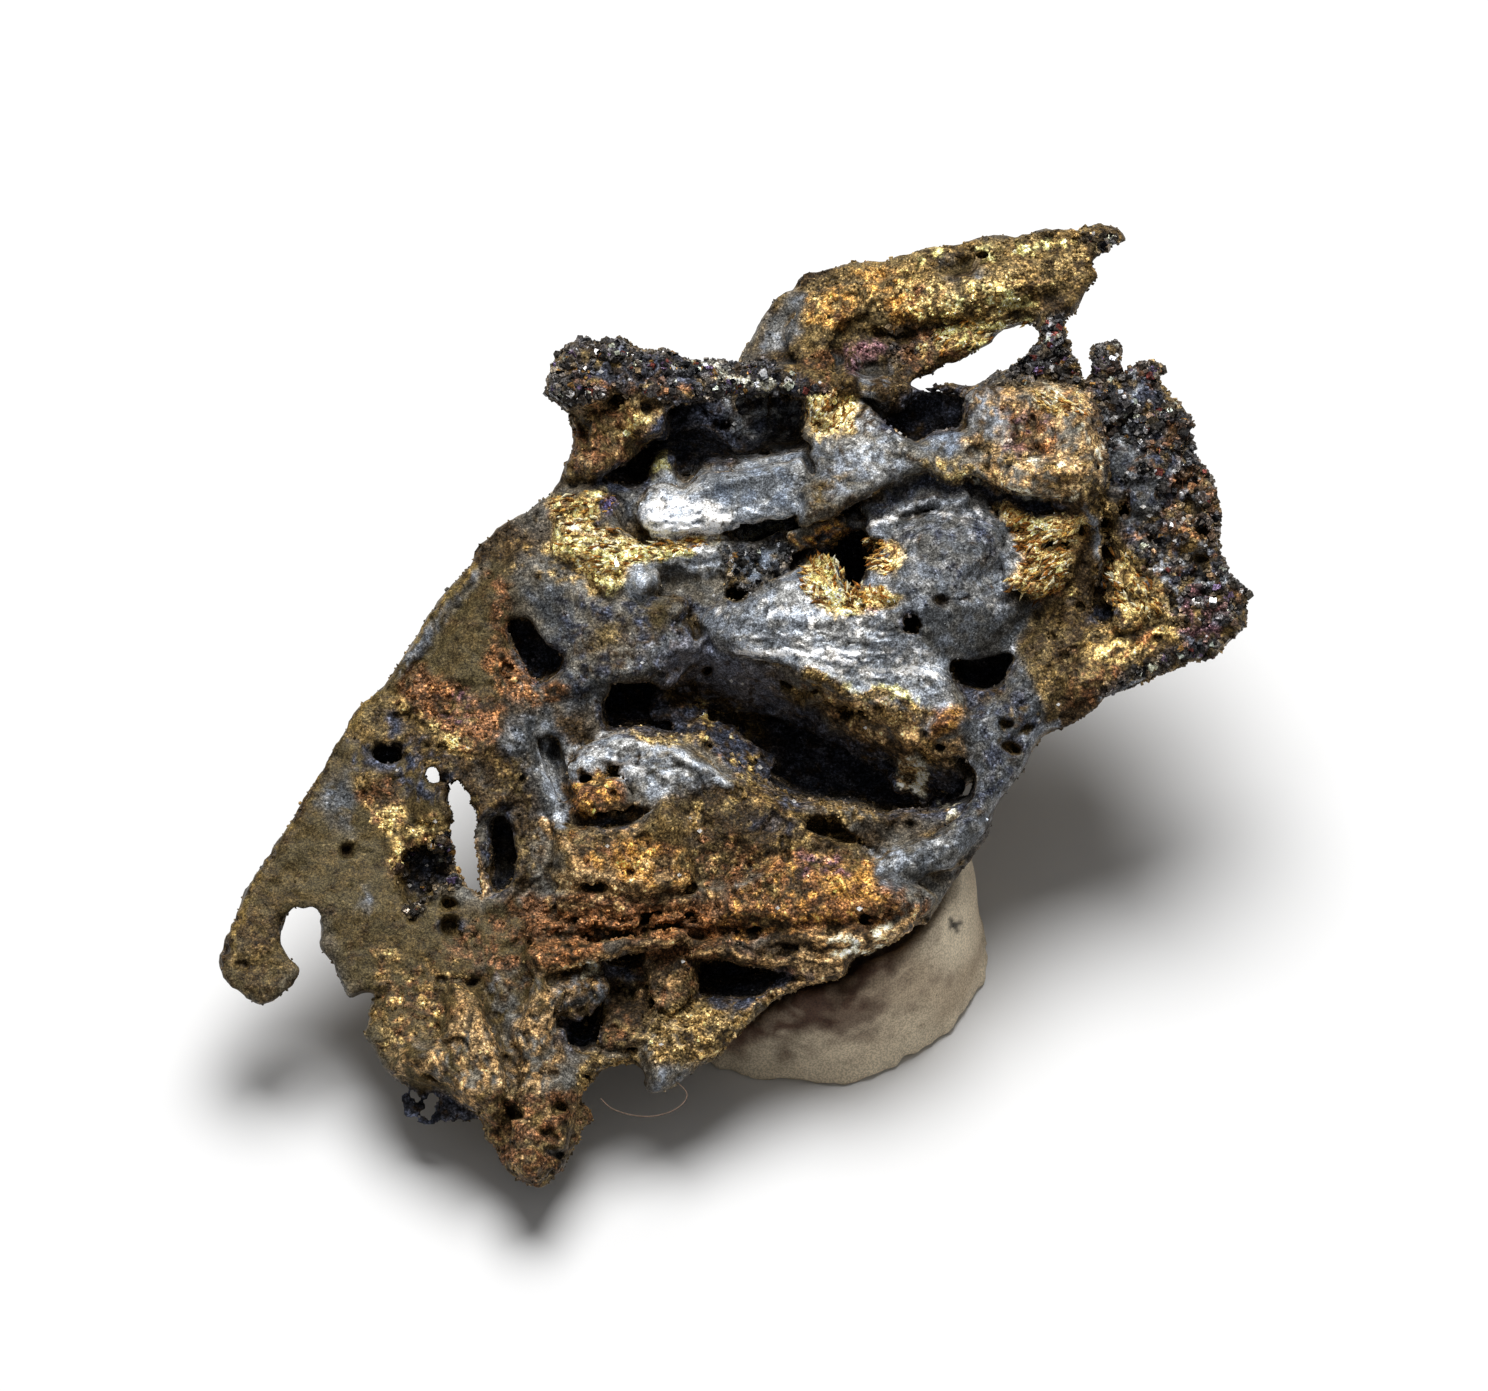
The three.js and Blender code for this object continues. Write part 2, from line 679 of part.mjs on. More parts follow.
function swellingSolid({ at, level, radii, turn, outline }) {
  const isKnob = Math.max(...radii) < knobRadius;
  const detail = outline ? 2 : 1;
  const geometry = new THREE.IcosahedronGeometry(1, isKnob ? 0 : detail);
  geometry.scale(...radii);
  geometry.rotateZ(THREE.MathUtils.degToRad(turn));
  const place = inPicture(...at);
  geometry.translate(place.x, place.y, level);
  const ball = toSolid(geometry);
  return outline ? ball.intersect(openingSolid(outline)) : ball;
}

// Cubes turned every way and half sunk in the face of a patch, the same on every run.
function crystalSolids({ count, size, level, within }) {
  const area = shapeOf(within).getPoints();
  const box = new THREE.Box2().setFromPoints(area);
  const random = THREE.MathUtils.seededRandom;
  const found = [];
  while (found.length < count) {
    const x = THREE.MathUtils.lerp(box.min.x, box.max.x, random());
    const y = THREE.MathUtils.lerp(box.min.y, box.max.y, random());
    if (isInside(x, y, area)) {
      const side = THREE.MathUtils.lerp(size[0], size[1], random());
      const cube = new THREE.BoxGeometry(side, side, side);
      cube.rotateX(random() * Math.PI);
      cube.rotateY(random() * Math.PI);
      const sitting = (random() - 0.5) * crystalSpread - crystalSink;
      cube.translate(x, y, level + sitting * side);
      found.push(toSolid(cube));
    }
  }
  return found;
}

function isInside(x, y, area) {
  let inside = false;
  for (let i = 0, j = area.length - 1; i < area.length; j = i, i += 1) {
    const crosses = area[i].y > y !== area[j].y > y;
    const edgeX = area[j].x + ((y - area[j].y) * (area[i].x - area[j].x)) / (area[i].y - area[j].y);
    if (crosses && x < edgeX) {
      inside = !inside;
    }
  }
  return inside;
}

// Breaks long facets up and rolls the surface, so that no face of the crust is a true plane.
function roughen(solid) {
  const noise = new ImprovedNoise();
  const pieces = new TessellateModifier(facetLength, 8).modify(toGeometry(solid).toNonIndexed());
  const { size, depth, finerSize, finerDepth } = roughness;
  const merged = mergeVertices(pieces, 1e-5);
  moveCorners(merged, (point) => {
    const { x, y, z } = point;
    const rough = THREE.MathUtils.smoothstep(x + calmBlade.slant * y, calmBlade.from, calmBlade.to);
    const share = THREE.MathUtils.lerp(calmBlade.share, 1, rough);
    const roll = noise.noise(x / size, y / size, z / size);
    const sway = noise.noise(y / size + 7, z / size, x / size + 3);
    const fine = noise.noise(x / finerSize, y / finerSize + 11, z / finerSize);
    point.z += share * 2 * (depth * roll + finerDepth * fine);
    point.x += finerDepth * sway;
    point.y += finerDepth * fine;
  });
  return toSolid(merged);
}

// From the picture's own frame, x right, y up and z towards the view, to the upright frame.
function standUp(geometry) {
  moveCorners(geometry, (point) => {
    point.z -= faceLean * point.y;
  });
  geometry.rotateX(Math.PI / 2 - viewElevation);
  return geometry;
}

function makeCrust() {
  const forms = [
    ...Object.values(lobes).map(lobeSolid),
    ...swellings.map(swellingSolid),
    ...Object.values(backLobes).map(lobeSolid),
    ...backSwellings.map(swellingSolid),
  ];
  const whole = forms.reduce((sum, form) => sum.add(form), lobeSolid(rimPlate));
  const cuts = [
    ...Object.values(pits).map(pitSolid),
    ...Object.values(openings).map(openingSolid),
    ...backHollows.map(swellingSolid),
  ];
  const pitted = cuts.reduce((left, cut) => left.subtract(cut), whole);
  THREE.MathUtils.seededRandom(crystalSeed);
  const crystals = crystalPatches.flatMap(crystalSolids);
  const crust = crystals.reduce((sum, crystal) => sum.add(crystal), roughen(pitted));
  return standUp(toGeometry(biggestPiece(crust)));
}

// The putty is turned on its own axis, made uneven, and pressed out of the way by the crust above it.
function makePutty(floorHeight) {
  const noise = new ImprovedNoise();
  const points = [];
  for (let i = 0; i < putty.profile.length; i += 2) {
    points.push(new THREE.Vector2(putty.profile[i], putty.profile[i + 1]));
  }
  const geometry = new THREE.LatheGeometry(points, putty.sides);
  geometry.rotateX(Math.PI / 2);
  moveCorners(geometry, (point) => {
    const round = Math.hypot(point.x, point.y);
    const { around, height } = wobbleScale;
    const bulge = putty.wobble * noise.noise(point.x / around, point.y / around, point.z / height);
    const swell = 1 + bulge / Math.max(round, 1);
    point.x *= swell * putty.squash[0];
    point.y *= swell * putty.squash[1];
  });
  const place = inPicture(putty.at.x, putty.at.y);
  const rise = floorHeight / Math.cos(viewElevation);
  const backwards = (2 * place.y - rise) * Math.sin(viewElevation);
  geometry.translate(place.x, backwards, floorHeight);
  const cuts = [
    ...pressingLobes.map((lobe) => {
      const bottom = (lobe.bottom ?? rimPlate.bottom) - puttyGap;
      return lobeSolid({ ...lobe, bottom, grow: puttyGap });
    }),
    ...pressingSwellings.map((ball) => {
      const radii = ball.radii.map((radius) => radius + puttyGap);
      return swellingSolid({ ...ball, radii });
    }),
  ];
  const pressed = cuts.map((cut) => toSolid(standUp(toGeometry(cut))));
  return biggestPiece(pressed.reduce((left, cut) => left.subtract(cut), toSolid(geometry)));
}

const crust = makeCrust();
crust.computeBoundingBox();
const floorHeight = crust.boundingBox.min.z - tipClearance;
const rest = toGeometry(makePutty(floorHeight));

const group = new THREE.Group();
const looks = {
  pyrite_crust: { color: 0x6a5b38, roughness: 0.45, metalness: 0.8 },
  putty_rest: { color: 0xc4b79a, roughness: 0.85, metalness: 0 },
};
const bodies = { pyrite_crust: crust, putty_rest: rest };
for (const [name, geometry] of Object.entries(bodies)) {
  const faceted = geometry.toNonIndexed();
  faceted.computeVertexNormals();
  const mesh = new THREE.Mesh(faceted, new THREE.MeshStandardMaterial(looks[name]));
  mesh.name = name;
  group.add(mesh);
}

// The origin is under the middle of the whole thing, on the surface it rests on.
const extent = new THREE.Box3().setFromObject(group);
const centre = extent.getCenter(new THREE.Vector3());
for (const mesh of group.children) {
  mesh.position.set(-centre.x, -centre.y, -extent.min.z);
}

export default group;
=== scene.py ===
import math

import bpy
import numpy as np
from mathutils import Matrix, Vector
from mathutils.bvhtree import BVHTree


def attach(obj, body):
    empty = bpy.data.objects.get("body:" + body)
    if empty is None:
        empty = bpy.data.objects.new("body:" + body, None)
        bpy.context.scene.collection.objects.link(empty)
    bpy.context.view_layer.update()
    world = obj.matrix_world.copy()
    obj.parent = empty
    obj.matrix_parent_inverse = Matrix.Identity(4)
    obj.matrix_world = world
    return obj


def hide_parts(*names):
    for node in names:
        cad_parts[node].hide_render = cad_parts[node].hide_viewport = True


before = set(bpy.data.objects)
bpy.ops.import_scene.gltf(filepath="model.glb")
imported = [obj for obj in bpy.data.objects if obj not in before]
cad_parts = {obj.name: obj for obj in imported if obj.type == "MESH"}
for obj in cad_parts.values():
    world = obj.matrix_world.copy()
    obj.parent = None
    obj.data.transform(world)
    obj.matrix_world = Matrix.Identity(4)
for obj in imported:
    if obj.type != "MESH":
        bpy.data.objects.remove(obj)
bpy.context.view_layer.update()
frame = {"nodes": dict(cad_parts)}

print("frame loaded:", ", ".join(frame["nodes"]))

# The crust's face is described as it is seen along one direction, the camera's.
# A picture point is (x, y) in a frame 1488 wide and 1391 high, and one point is pointSize mm.
view = {
    "pointSize": 0.04,
    "middle": (744, 695),
    "elevation": math.radians(45),
    "faceLean": 0.38,                      # how far the face drops back for each mm up the picture
    "origin": (0.34523, 0.14398, 10.17669),   # where the picture's middle lies in the row frame, mm
    "imageSize": (1488, 1391),
}
sinE, cosE = math.sin(view["elevation"]), math.cos(view["elevation"])
milli = 0.001


def toMm(flat):  # a flat list of picture points as rows of millimetres right and up
    points = np.array(flat, dtype=np.float64).reshape(-1, 2)
    return np.stack([points[:, 0] - view["middle"][0], view["middle"][1] - points[:, 1]], axis=1) * view["pointSize"]


def toPicture(points):  # row frame in metres to right, up and level above the mean face, in mm
    p = np.asarray(points, dtype=np.float64) / milli - np.array(view["origin"])
    up = p[:, 1] * sinE + p[:, 2] * cosE
    towards = -p[:, 1] * cosE + p[:, 2] * sinE
    return np.stack([p[:, 0], up, towards + view["faceLean"] * up], axis=1)


def toRow(points):
    right, up, level = points[:, 0], points[:, 1], points[:, 2]
    towards = level - view["faceLean"] * up
    row = np.stack([right, up * sinE - towards * cosE, up * cosE + towards * sinE], axis=1)
    return (row + np.array(view["origin"])) * milli


def smoothStep(low, high, x):
    t = np.clip((x - low) / (high - low), 0, 1)
    return t * t * (3 - 2 * t)


# Camera

camera = {"distance": 0.85, "sensor": 36.0}


def makeCamera():
    data = bpy.data.cameras.new("camera")
    data.sensor_width = camera["sensor"]
    frameWidth = view["imageSize"][0] * view["pointSize"] * milli
    data.lens = camera["sensor"] * camera["distance"] / frameWidth
    data.clip_start = 0.05
    data.clip_end = 20
    cam = bpy.data.objects.new("camera", data)
    bpy.context.scene.collection.objects.link(cam)
    back = Vector((0, -cosE, sinE))
    cam.location = Vector(view["origin"]) * milli + back * camera["distance"]
    cam.rotation_mode = "QUATERNION"
    cam.rotation_quaternion = (-back).to_track_quat("-Z", "Y")
    bpy.context.scene.camera = cam


makeCamera()
print("camera set")


# Noise, and blocks of samples

noiseSpan = (50, 50, 22)      # mm, the room that the noise fills round the middle


def placedNoise(axes, size, seed):
    # smooth random values from -1 to 1 over a grid, with lumps about as wide as size (mm)
    rng = np.random.default_rng(seed)
    values = rng.uniform(-1, 1, [int(s / size) + 3 for s in noiseSpan[:len(axes)]]).astype(np.float32)
    for axis, places in enumerate(axes):
        at = (places + noiseSpan[axis] / 2) / size
        low = np.floor(at).astype(int)
        t = at - low
        t = (t * t * (3 - 2 * t)).astype(np.float32)
        form = [1] * len(axes)
        form[axis] = len(places)
        t = t.reshape(form)
        values = values.take(low, axis) * (1 - t) + values.take(low + 1, axis) * t
    return values


def pointNoise(points, size, seed):  # the same kind of noise at loose points
    rng = np.random.default_rng(seed)
    table = rng.uniform(-1, 1, (32, 32, 32)).astype(np.float32)
    at = points / size + 100.37
    low = np.floor(at).astype(int)
    t = at - low
    t = t * t * (3 - 2 * t)
    out = 0
    for corner in range(8):
        bits = [(corner >> k) & 1 for k in range(3)]
        weight = 1
        for k, bit in enumerate(bits):
            weight = weight * (t[:, k] if bit else 1 - t[:, k])
        out = out + weight * table[tuple((low[:, k] + bit) % 32 for k, bit in enumerate(bits))]
    return out


def boxBlur(values, radius, rounds=2):
    width = 2 * radius + 1
    for axis in range(values.ndim):
        for _ in range(rounds):
            pad = [(0, 0)] * values.ndim
            pad[axis] = (radius + 1, radius)
            sums = np.cumsum(np.pad(values, pad, mode="edge"), axis=axis, dtype=np.float64)
            n = values.shape[axis]
            top = np.take(sums, np.arange(width, width + n), axis)
            bottom = np.take(sums, np.arange(0, n), axis)
            values = ((top - bottom) / width).astype(np.float32)
    return values


def enlarge(values, shape):  # resamples a block to a finer one over the same corners
    for axis, n in enumerate(shape):
        at = np.linspace(0, values.shape[axis] - 1, n)
        low = np.minimum(at.astype(int), values.shape[axis] - 2)
        form = [1] * len(shape)
        form[axis] = n
        t = (at - low).reshape(form).astype(np.float32)
        values = values.take(low, axis) * (1 - t) + values.take(low + 1, axis) * t
    return values


def sampleAt(block, indices):  # linear value of a block at fractional indices
    low = np.floor(indices).astype(int)
    low = np.clip(low, 0, np.array(block.shape[:indices.shape[1]]) - 2)
    t = np.clip(indices - low, 0, 1)
    out = 0
    for corner in range(2 ** indices.shape[1]):
        bits = [(corner >> k) & 1 for k in range(indices.shape[1])]
        weight = 1
        for k, bit in enumerate(bits):
            weight = weight * (t[:, k] if bit else 1 - t[:, k])
        value = block[tuple(low[:, k] + bit for k, bit in enumerate(bits))]
        out = out + (weight[:, None] if value.ndim > 1 else weight) * value
    return out


def surfaceNet(field):
    # one point in each cell that the surface passes through, and a square across each crossed edge
    inside = field < 0
    nx, ny, nz = field.shape
    count = np.zeros((nx - 1, ny - 1, nz - 1), dtype=np.uint8)
    corners = [(i, j, k) for i in (0, 1) for j in (0, 1) for k in (0, 1)]
    for i, j, k in corners:
        count += inside[i:nx - 1 + i, j:ny - 1 + j, k:nz - 1 + k]
    cells = np.argwhere((count > 0) & (count < 8))
    number = np.full(count.shape, -1, dtype=np.int32)
    number[tuple(cells.T)] = np.arange(len(cells))
    total = np.zeros((len(cells), 3))
    hits = np.zeros(len(cells))
    for a in corners:
        for axis in range(3):
            if a[axis]:
                continue
            b = list(a)
            b[axis] = 1
            fa = field[tuple((cells + a).T)]
            fb = field[tuple((cells + b).T)]
            crossed = (fa < 0) != (fb < 0)
            t = np.where(crossed, fa / np.where(crossed, fa - fb, 1), 0)
            place = np.array(a)[None, :] * np.ones((len(cells), 1))
            place[:, axis] += t
            total += place * crossed[:, None]
            hits += crossed
    points = cells + total / hits[:, None]
    quads = []
    for axis in range(3):
        u, v = (axis + 1) % 3, (axis + 2) % 3
        first = [slice(1, -1)] * 3
        second = [slice(1, -1)] * 3
        first[axis] = slice(0, -1)
        second[axis] = slice(1, None)
        a, b = inside[tuple(first)], inside[tuple(second)]
        for leaving in (True, False):
            edges = np.argwhere((a & ~b) if leaving else (~a & b))
            base = edges + 1
            base[:, axis] -= 1
            du, dv = np.zeros(3, int), np.zeros(3, int)
            du[u], dv[v] = 1, 1
            ring = [base - du - dv, base - dv, base, base - du]
            quad = np.stack([number[tuple(r.T)] for r in ring], axis=1)
            quads.append(quad if leaving else quad[:, ::-1])
    return points, np.concatenate(quads)


def dropCrumbs(points, quads, smallest):  # drops parts with fewer points than smallest
    label = np.arange(len(points))
    edges = np.concatenate([quads[:, [0, 1]], quads[:, [1, 2]], quads[:, [2, 3]]])
    while True:
        low = np.minimum(label[edges[:, 0]], label[edges[:, 1]])
        new = label.copy()
        np.minimum.at(new, edges[:, 0], low)
        np.minimum.at(new, edges[:, 1], low)
        new = new[new]
        if np.array_equal(new, label):
            break
        label = new
    names, where, sizes = np.unique(label, return_inverse=True, return_counts=True)
    keep = sizes[where] >= smallest
    number = np.cumsum(keep) - 1
    return points[keep], number[quads[keep[quads[:, 0]]]]


def makeMesh(name, points, faces, smooth=True):
    mesh = bpy.data.meshes.new(name)
    sides = faces.shape[1]
    mesh.vertices.add(len(points))
    mesh.vertices.foreach_set("co", np.ascontiguousarray(points, dtype=np.float32).ravel())
    mesh.loops.add(faces.size)
    mesh.loops.foreach_set("vertex_index", np.ascontiguousarray(faces, dtype=np.int32).ravel())
    mesh.polygons.add(len(faces))
    mesh.polygons.foreach_set("loop_start", np.arange(0, faces.size, sides, dtype=np.int32))
    mesh.update(calc_edges=True)
    mesh.polygons.foreach_set("use_smooth", np.full(len(faces), smooth, dtype=bool))
    return mesh


def addPiece(name, mesh):
    piece = bpy.data.objects.new(name, mesh)
    bpy.context.scene.collection.objects.link(piece)
    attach(piece, "root")
    return piece


def thin(piece, limit):  # collapses short edges until the piece has no more triangles than limit
    quads = len(piece.data.polygons)
    modifier = piece.modifiers.new("thin", "DECIMATE")
    modifier.ratio = min(1, limit / (2 * quads))
    modifier.use_collapse_triangulate = True
    evaluated = piece.evaluated_get(bpy.context.evaluated_depsgraph_get())
    thinned = bpy.data.meshes.new_from_object(evaluated)
    piece.modifiers.clear()
    old = piece.data
    piece.data = thinned
    bpy.data.meshes.remove(old)
    thinned.name = piece.name
    return thinned


def meshArrays(mesh):
    points = np.empty(len(mesh.vertices) * 3, dtype=np.float32)
    mesh.vertices.foreach_get("co", points)
    mesh.calc_loop_triangles()
    faces = np.empty(len(mesh.loop_triangles) * 3, dtype=np.int32)
    mesh.loop_triangles.foreach_get("vertices", faces)
    return points.reshape(-1, 3).astype(np.float64), faces.reshape(-1, 3)


def setColours(mesh, name, values):
    layer = mesh.attributes.new(name, "FLOAT_COLOR", "POINT")
    full = np.ones((len(values), 4), dtype=np.float32)
    full[:, :3] = values
    layer.data.foreach_set("color", full.ravel())


class Block:
    # a grid of samples: its low corner and spacing in the picture's frame, mm
    def __init__(self, low, shape, spacing):
        self.low = np.array(low, dtype=np.float64)
        self.shape = tuple(int(n) for n in shape)
        self.spacing = spacing

    def axes(self):
        return [self.low[k] + np.arange(self.shape[k]) * self.spacing for k in range(3)]

    def indices(self, points):
        return (points - self.low) / self.spacing

    def places(self, indices):
        return self.low + indices * self.spacing

    def part(self, start, stop, step=1):
        shape = [(b - a + step - 1) // step for a, b in zip(start, stop)]
        return Block(self.places(np.array(start)), shape, self.spacing * step)


def distanceField(node, block, reach):
    # distance to the node's surface in mm, below zero inside, no further than reach
    rowPoints, faces = meshArrays(frame["nodes"][node].data)
    shear = view["faceLean"]
    straight = toPicture(rowPoints)
    straight[:, 2] -= shear * straight[:, 1]
    tree = BVHTree.FromPolygons([Vector(p) for p in straight], faces.tolist())
    xs, ys, zs = block.axes()
    inside = np.zeros(block.shape, dtype=bool)
    far = zs[-1] + 5
    down = Vector((0, 0, -1))
    for i, x in enumerate(xs):
        for j, y in enumerate(ys):
            hits = []
            at = far - shear * y
            while True:
                hit = tree.ray_cast(Vector((x, y, at)), down)
                if hit[0] is None:
                    break
                hits.append(hit[0].z + shear * y)
                at = hit[0].z - 1e-4
            for top, bottom in zip(hits[0::2], hits[1::2]):
                inside[i, j, (zs < top) & (zs > bottom)] = True
    steps = int(math.ceil(reach / block.spacing))
    soft = boxBlur(inside.astype(np.float32), steps, 1)
    near = (soft > 1e-6) & (soft < 1 - 1e-6)
    field = np.where(inside, -reach, reach).astype(np.float32)
    for i, j, k in np.argwhere(near):
        found = tree.find_nearest(Vector((xs[i], ys[j], zs[k] - shear * ys[j])), reach)
        if found[0] is not None:
            field[i, j, k] = -found[3] if inside[i, j, k] else found[3]
    return field


def nodeField(node, spacing, measured, margin, reach):
    # the node's field, measured on every so many samples and softened a little
    points = toPicture(meshArrays(frame["nodes"][node].data)[0])
    lowest, highest = points.min(0) - margin, points.max(0) + margin
    coarse = Block(lowest, np.ceil((highest - lowest) / (spacing * measured)) + 1, spacing * measured)
    field = distanceField(node, coarse, reach)
    fine = Block(lowest, [measured * (n - 1) + 1 for n in coarse.shape], spacing)
    return fine, boxBlur(enlarge(field, fine.shape), 1, 2)


# Face map: a sheet of samples over the picture, on which colours and low relief are laid out

faceMap = {"low": (-22.5, -22.0), "size": (45.0, 44.0), "spacing": 0.06}
mapShape = tuple(int(s / faceMap["spacing"]) for s in faceMap["size"])
mapX = (faceMap["low"][0] + np.arange(mapShape[0]) * faceMap["spacing"])[:, None]
mapY = (faceMap["low"][1] + np.arange(mapShape[1]) * faceMap["spacing"])[None, :]
farAway = 9.0


def mapIndices(points):
    return (points[:, :2] - np.array(faceMap["low"])) / faceMap["spacing"]


def mapWindow(corners, margin):  # the part of the sheet around some points
    low = np.floor(mapIndices(corners.min(0)[None, :] - margin)[0]).astype(int)
    high = np.ceil(mapIndices(corners.max(0)[None, :] + margin)[0]).astype(int)
    low = np.clip(low, 0, np.array(mapShape) - 1)
    high = np.clip(high, 1, np.array(mapShape))
    return slice(low[0], high[0]), slice(low[1], high[1])


def segmentDistance(x, y, a, b):
    along = b - a
    length = max(float(along @ along), 1e-12)
    t = np.clip(((x - a[0]) * along[0] + (y - a[1]) * along[1]) / length, 0, 1)
    return np.hypot(x - a[0] - t * along[0], y - a[1] - t * along[1])


def outlineDistance(flat, margin=1.6):  # mm to a closed outline, below zero inside, with its window
    corners = toMm(flat)
    window = mapWindow(corners, margin)
    x, y = mapX[window[0]], mapY[:, window[1]]
    distance = np.full((x.shape[0], y.shape[1]), farAway)
    inside = np.zeros(distance.shape, dtype=bool)
    for a, b in zip(corners, np.roll(corners, -1, axis=0)):
        distance = np.minimum(distance, segmentDistance(x, y, a, b))
        if a[1] != b[1]:
            crosses = (a[1] > y) != (b[1] > y)
            inside ^= crosses & (x < (b[0] - a[0]) * (y - a[1]) / (b[1] - a[1]) + a[0])
    return np.where(inside, -distance, distance), window


def lineDistance(flat, margin=1.2):
    corners = toMm(flat)
    window = mapWindow(corners, margin)
    x, y = mapX[window[0]], mapY[:, window[1]]
    distance = np.full((x.shape[0], y.shape[1]), farAway)
    for a, b in zip(corners[:-1], corners[1:]):
        distance = np.minimum(distance, segmentDistance(x, y, a, b))
    return distance, window


def mapNoise(size, seed):
    return placedNoise([mapX[:, 0], mapY[0]], size, seed)


# Finishes of the crust: tint as it looks in the light (0 to 255), metallic, roughness, grain, relief, how thickly
# small crystals sit on it, and what it is flecked with and how much

finishes = {
    "umber": ((51, 40, 26), 0.3, 0.52, 0.7, 0.6, 0.1, "bronze", 0.25),
    "olive": ((63, 54, 34), 0.4, 0.46, 0.12, 0.16, 0, "umber", 0.12),
    "rim": ((90, 75, 43), 0.5, 0.45, 0.3, 0.3, 0, "umber", 0.35),
    "bronze": ((97, 81, 51), 0.5, 0.46, 0.6, 0.55, 0.1, "umber", 0.35),
    "oliveGold": ((128, 106, 67), 0.7, 0.42, 1.0, 0.9, 0.35, "umber", 0.35),
    "gold": ((214, 182, 117), 0.85, 0.38, 1.1, 1.0, 0.4, "rust", 0.3),
    "brightGold": ((252, 240, 158), 0.85, 0.34, 0.9, 0.9, 0.3, "bronze", 0.25),
    "tuft": ((235, 201, 131), 0.85, 0.34, 0.8, 1.0, 0.2, "copper", 0.3),
    "copper": ((141, 97, 61), 0.7, 0.42, 1.0, 0.9, 0.35, "umber", 0.35),
    "orange": ((193, 143, 75), 0.75, 0.4, 0.9, 0.9, 0.3, "rust", 0.3),
    "rose": ((108, 79, 84), 0.7, 0.4, 0.9, 0.8, 0.35, "umber", 0.3),
    "violet": ((89, 85, 130), 0.7, 0.4, 0.7, 0.7, 0.3, "slate", 0.3),
    "rust": ((103, 72, 48), 0.45, 0.5, 0.9, 0.8, 0.2, "umber", 0.35),
    "drab": ((87, 84, 77), 0.45, 0.46, 0.3, 0.3, 0, "umber", 0.25),
    "tan": ((164, 133, 92), 0.25, 0.55, 0.9, 0.8, 0.1, "umber", 0.35),
    "cream": ((250, 244, 214), 0.2, 0.55, 0.6, 0.5, 0, "tan", 0.3),
    "slate": ((65, 66, 66), 0.5, 0.42, 0.4, 0.2, 0.05, "steel", 0.15),
    "steel": ((102, 105, 109), 0.6, 0.42, 0.3, 0.14, 0, "slate", 0.3),
    "blueSteel": ((90, 96, 104), 0.6, 0.4, 0.25, 0.14, 0, "slate", 0.2),
    "silver": ((143, 147, 151), 0.65, 0.4, 0.2, 0.12, 0, "slate", 0.16),
    # the near-white finish below is partly pale flakes and partly painted sheen on the plates and shelf that face the
    # light
    "white": ((243, 243, 243), 0.5, 0.35, 0.3, 0.15, 0, "steel", 0.2),
    "night": ((54, 53, 53), 0.75, 0.3, 1.3, 1.1, 1.0, "bronze", 0.3),
    # below: a dark blue-grey, laid on the upper rim of the big cave
    "soot": ((90, 92, 101), 0.3, 0.55, 0.3, 0.2, 0, "umber", 0.15),
    # the near-black finish below is painted shade laid over caves, pits, crevices and hollows, and on the dark clusters
    # it is also their own black
    "black": ((56, 59, 69), 0.2, 0.6, 0.9, 0.6, 0.1, "umber", 0.2),
}

# Outlines that serve more than once, in picture points
tuftRight = [1003, 503, 1045, 522, 1062, 510, 1080, 516, 1076, 545, 1062, 588, 1040, 600, 1006, 588, 1030, 560,
              1018, 540]
tuftMiddle = [804, 590, 808, 555, 836, 560, 846, 586, 884, 590, 902, 598, 850, 614, 818, 606]
tuftSmall = [868, 536, 890, 540, 898, 565, 880, 580, 872, 562]
tuftEdge = [1110, 556, 1128, 545, 1165, 600, 1172, 616, 1130, 618, 1110, 600]
tuftTop = [806, 400, 836, 394, 852, 404, 850, 430, 820, 440, 806, 430]
orangePlace = [724, 895, 790, 852, 870, 860, 905, 886, 880, 915, 820, 930, 740, 936, 716, 925]
darkCluster = [1086, 392, 1124, 360, 1192, 418, 1230, 580, 1246, 630, 1168, 652, 1130, 560, 1104, 440]
foot = [486, 1086, 585, 1084, 600, 1112, 572, 1150, 545, 1200, 500, 1180, 484, 1120]
lowerLeft = [376, 950, 470, 955, 480, 1000, 440, 1040, 378, 1052, 362, 1034, 372, 1000]
tanBlock = [965, 396, 1040, 384, 1098, 396, 1112, 440, 1106, 492, 1060, 494, 1003, 488, 985, 474, 968, 446]
redPlace = [402, 680, 425, 670, 470, 690, 508, 712, 500, 735, 468, 756, 440, 738, 415, 708]
pitLump = [640, 958, 696, 956, 696, 1002, 660, 1004, 646, 990]
slopeTop = [690, 800, 745, 790, 870, 850, 740, 870, 690, 860]
hornWall = [568, 402, 640, 396, 672, 410, 664, 440, 600, 476, 574, 478, 574, 440]
crevice = [795, 540, 835, 524, 872, 502, 900, 482, 928, 476, 960, 480, 962, 494, 930, 495, 890, 508, 868, 526, 840,
    537, 812, 550]
tuftFoot = [1040, 566, 1076, 556, 1086, 600, 1046, 604]
domeLip = [850, 700, 905, 705, 940, 735, 960, 768, 930, 762, 880, 735]
slotHollow = [480, 826, 488, 812, 502, 812, 516, 836, 518, 868, 506, 896, 492, 896, 483, 860]

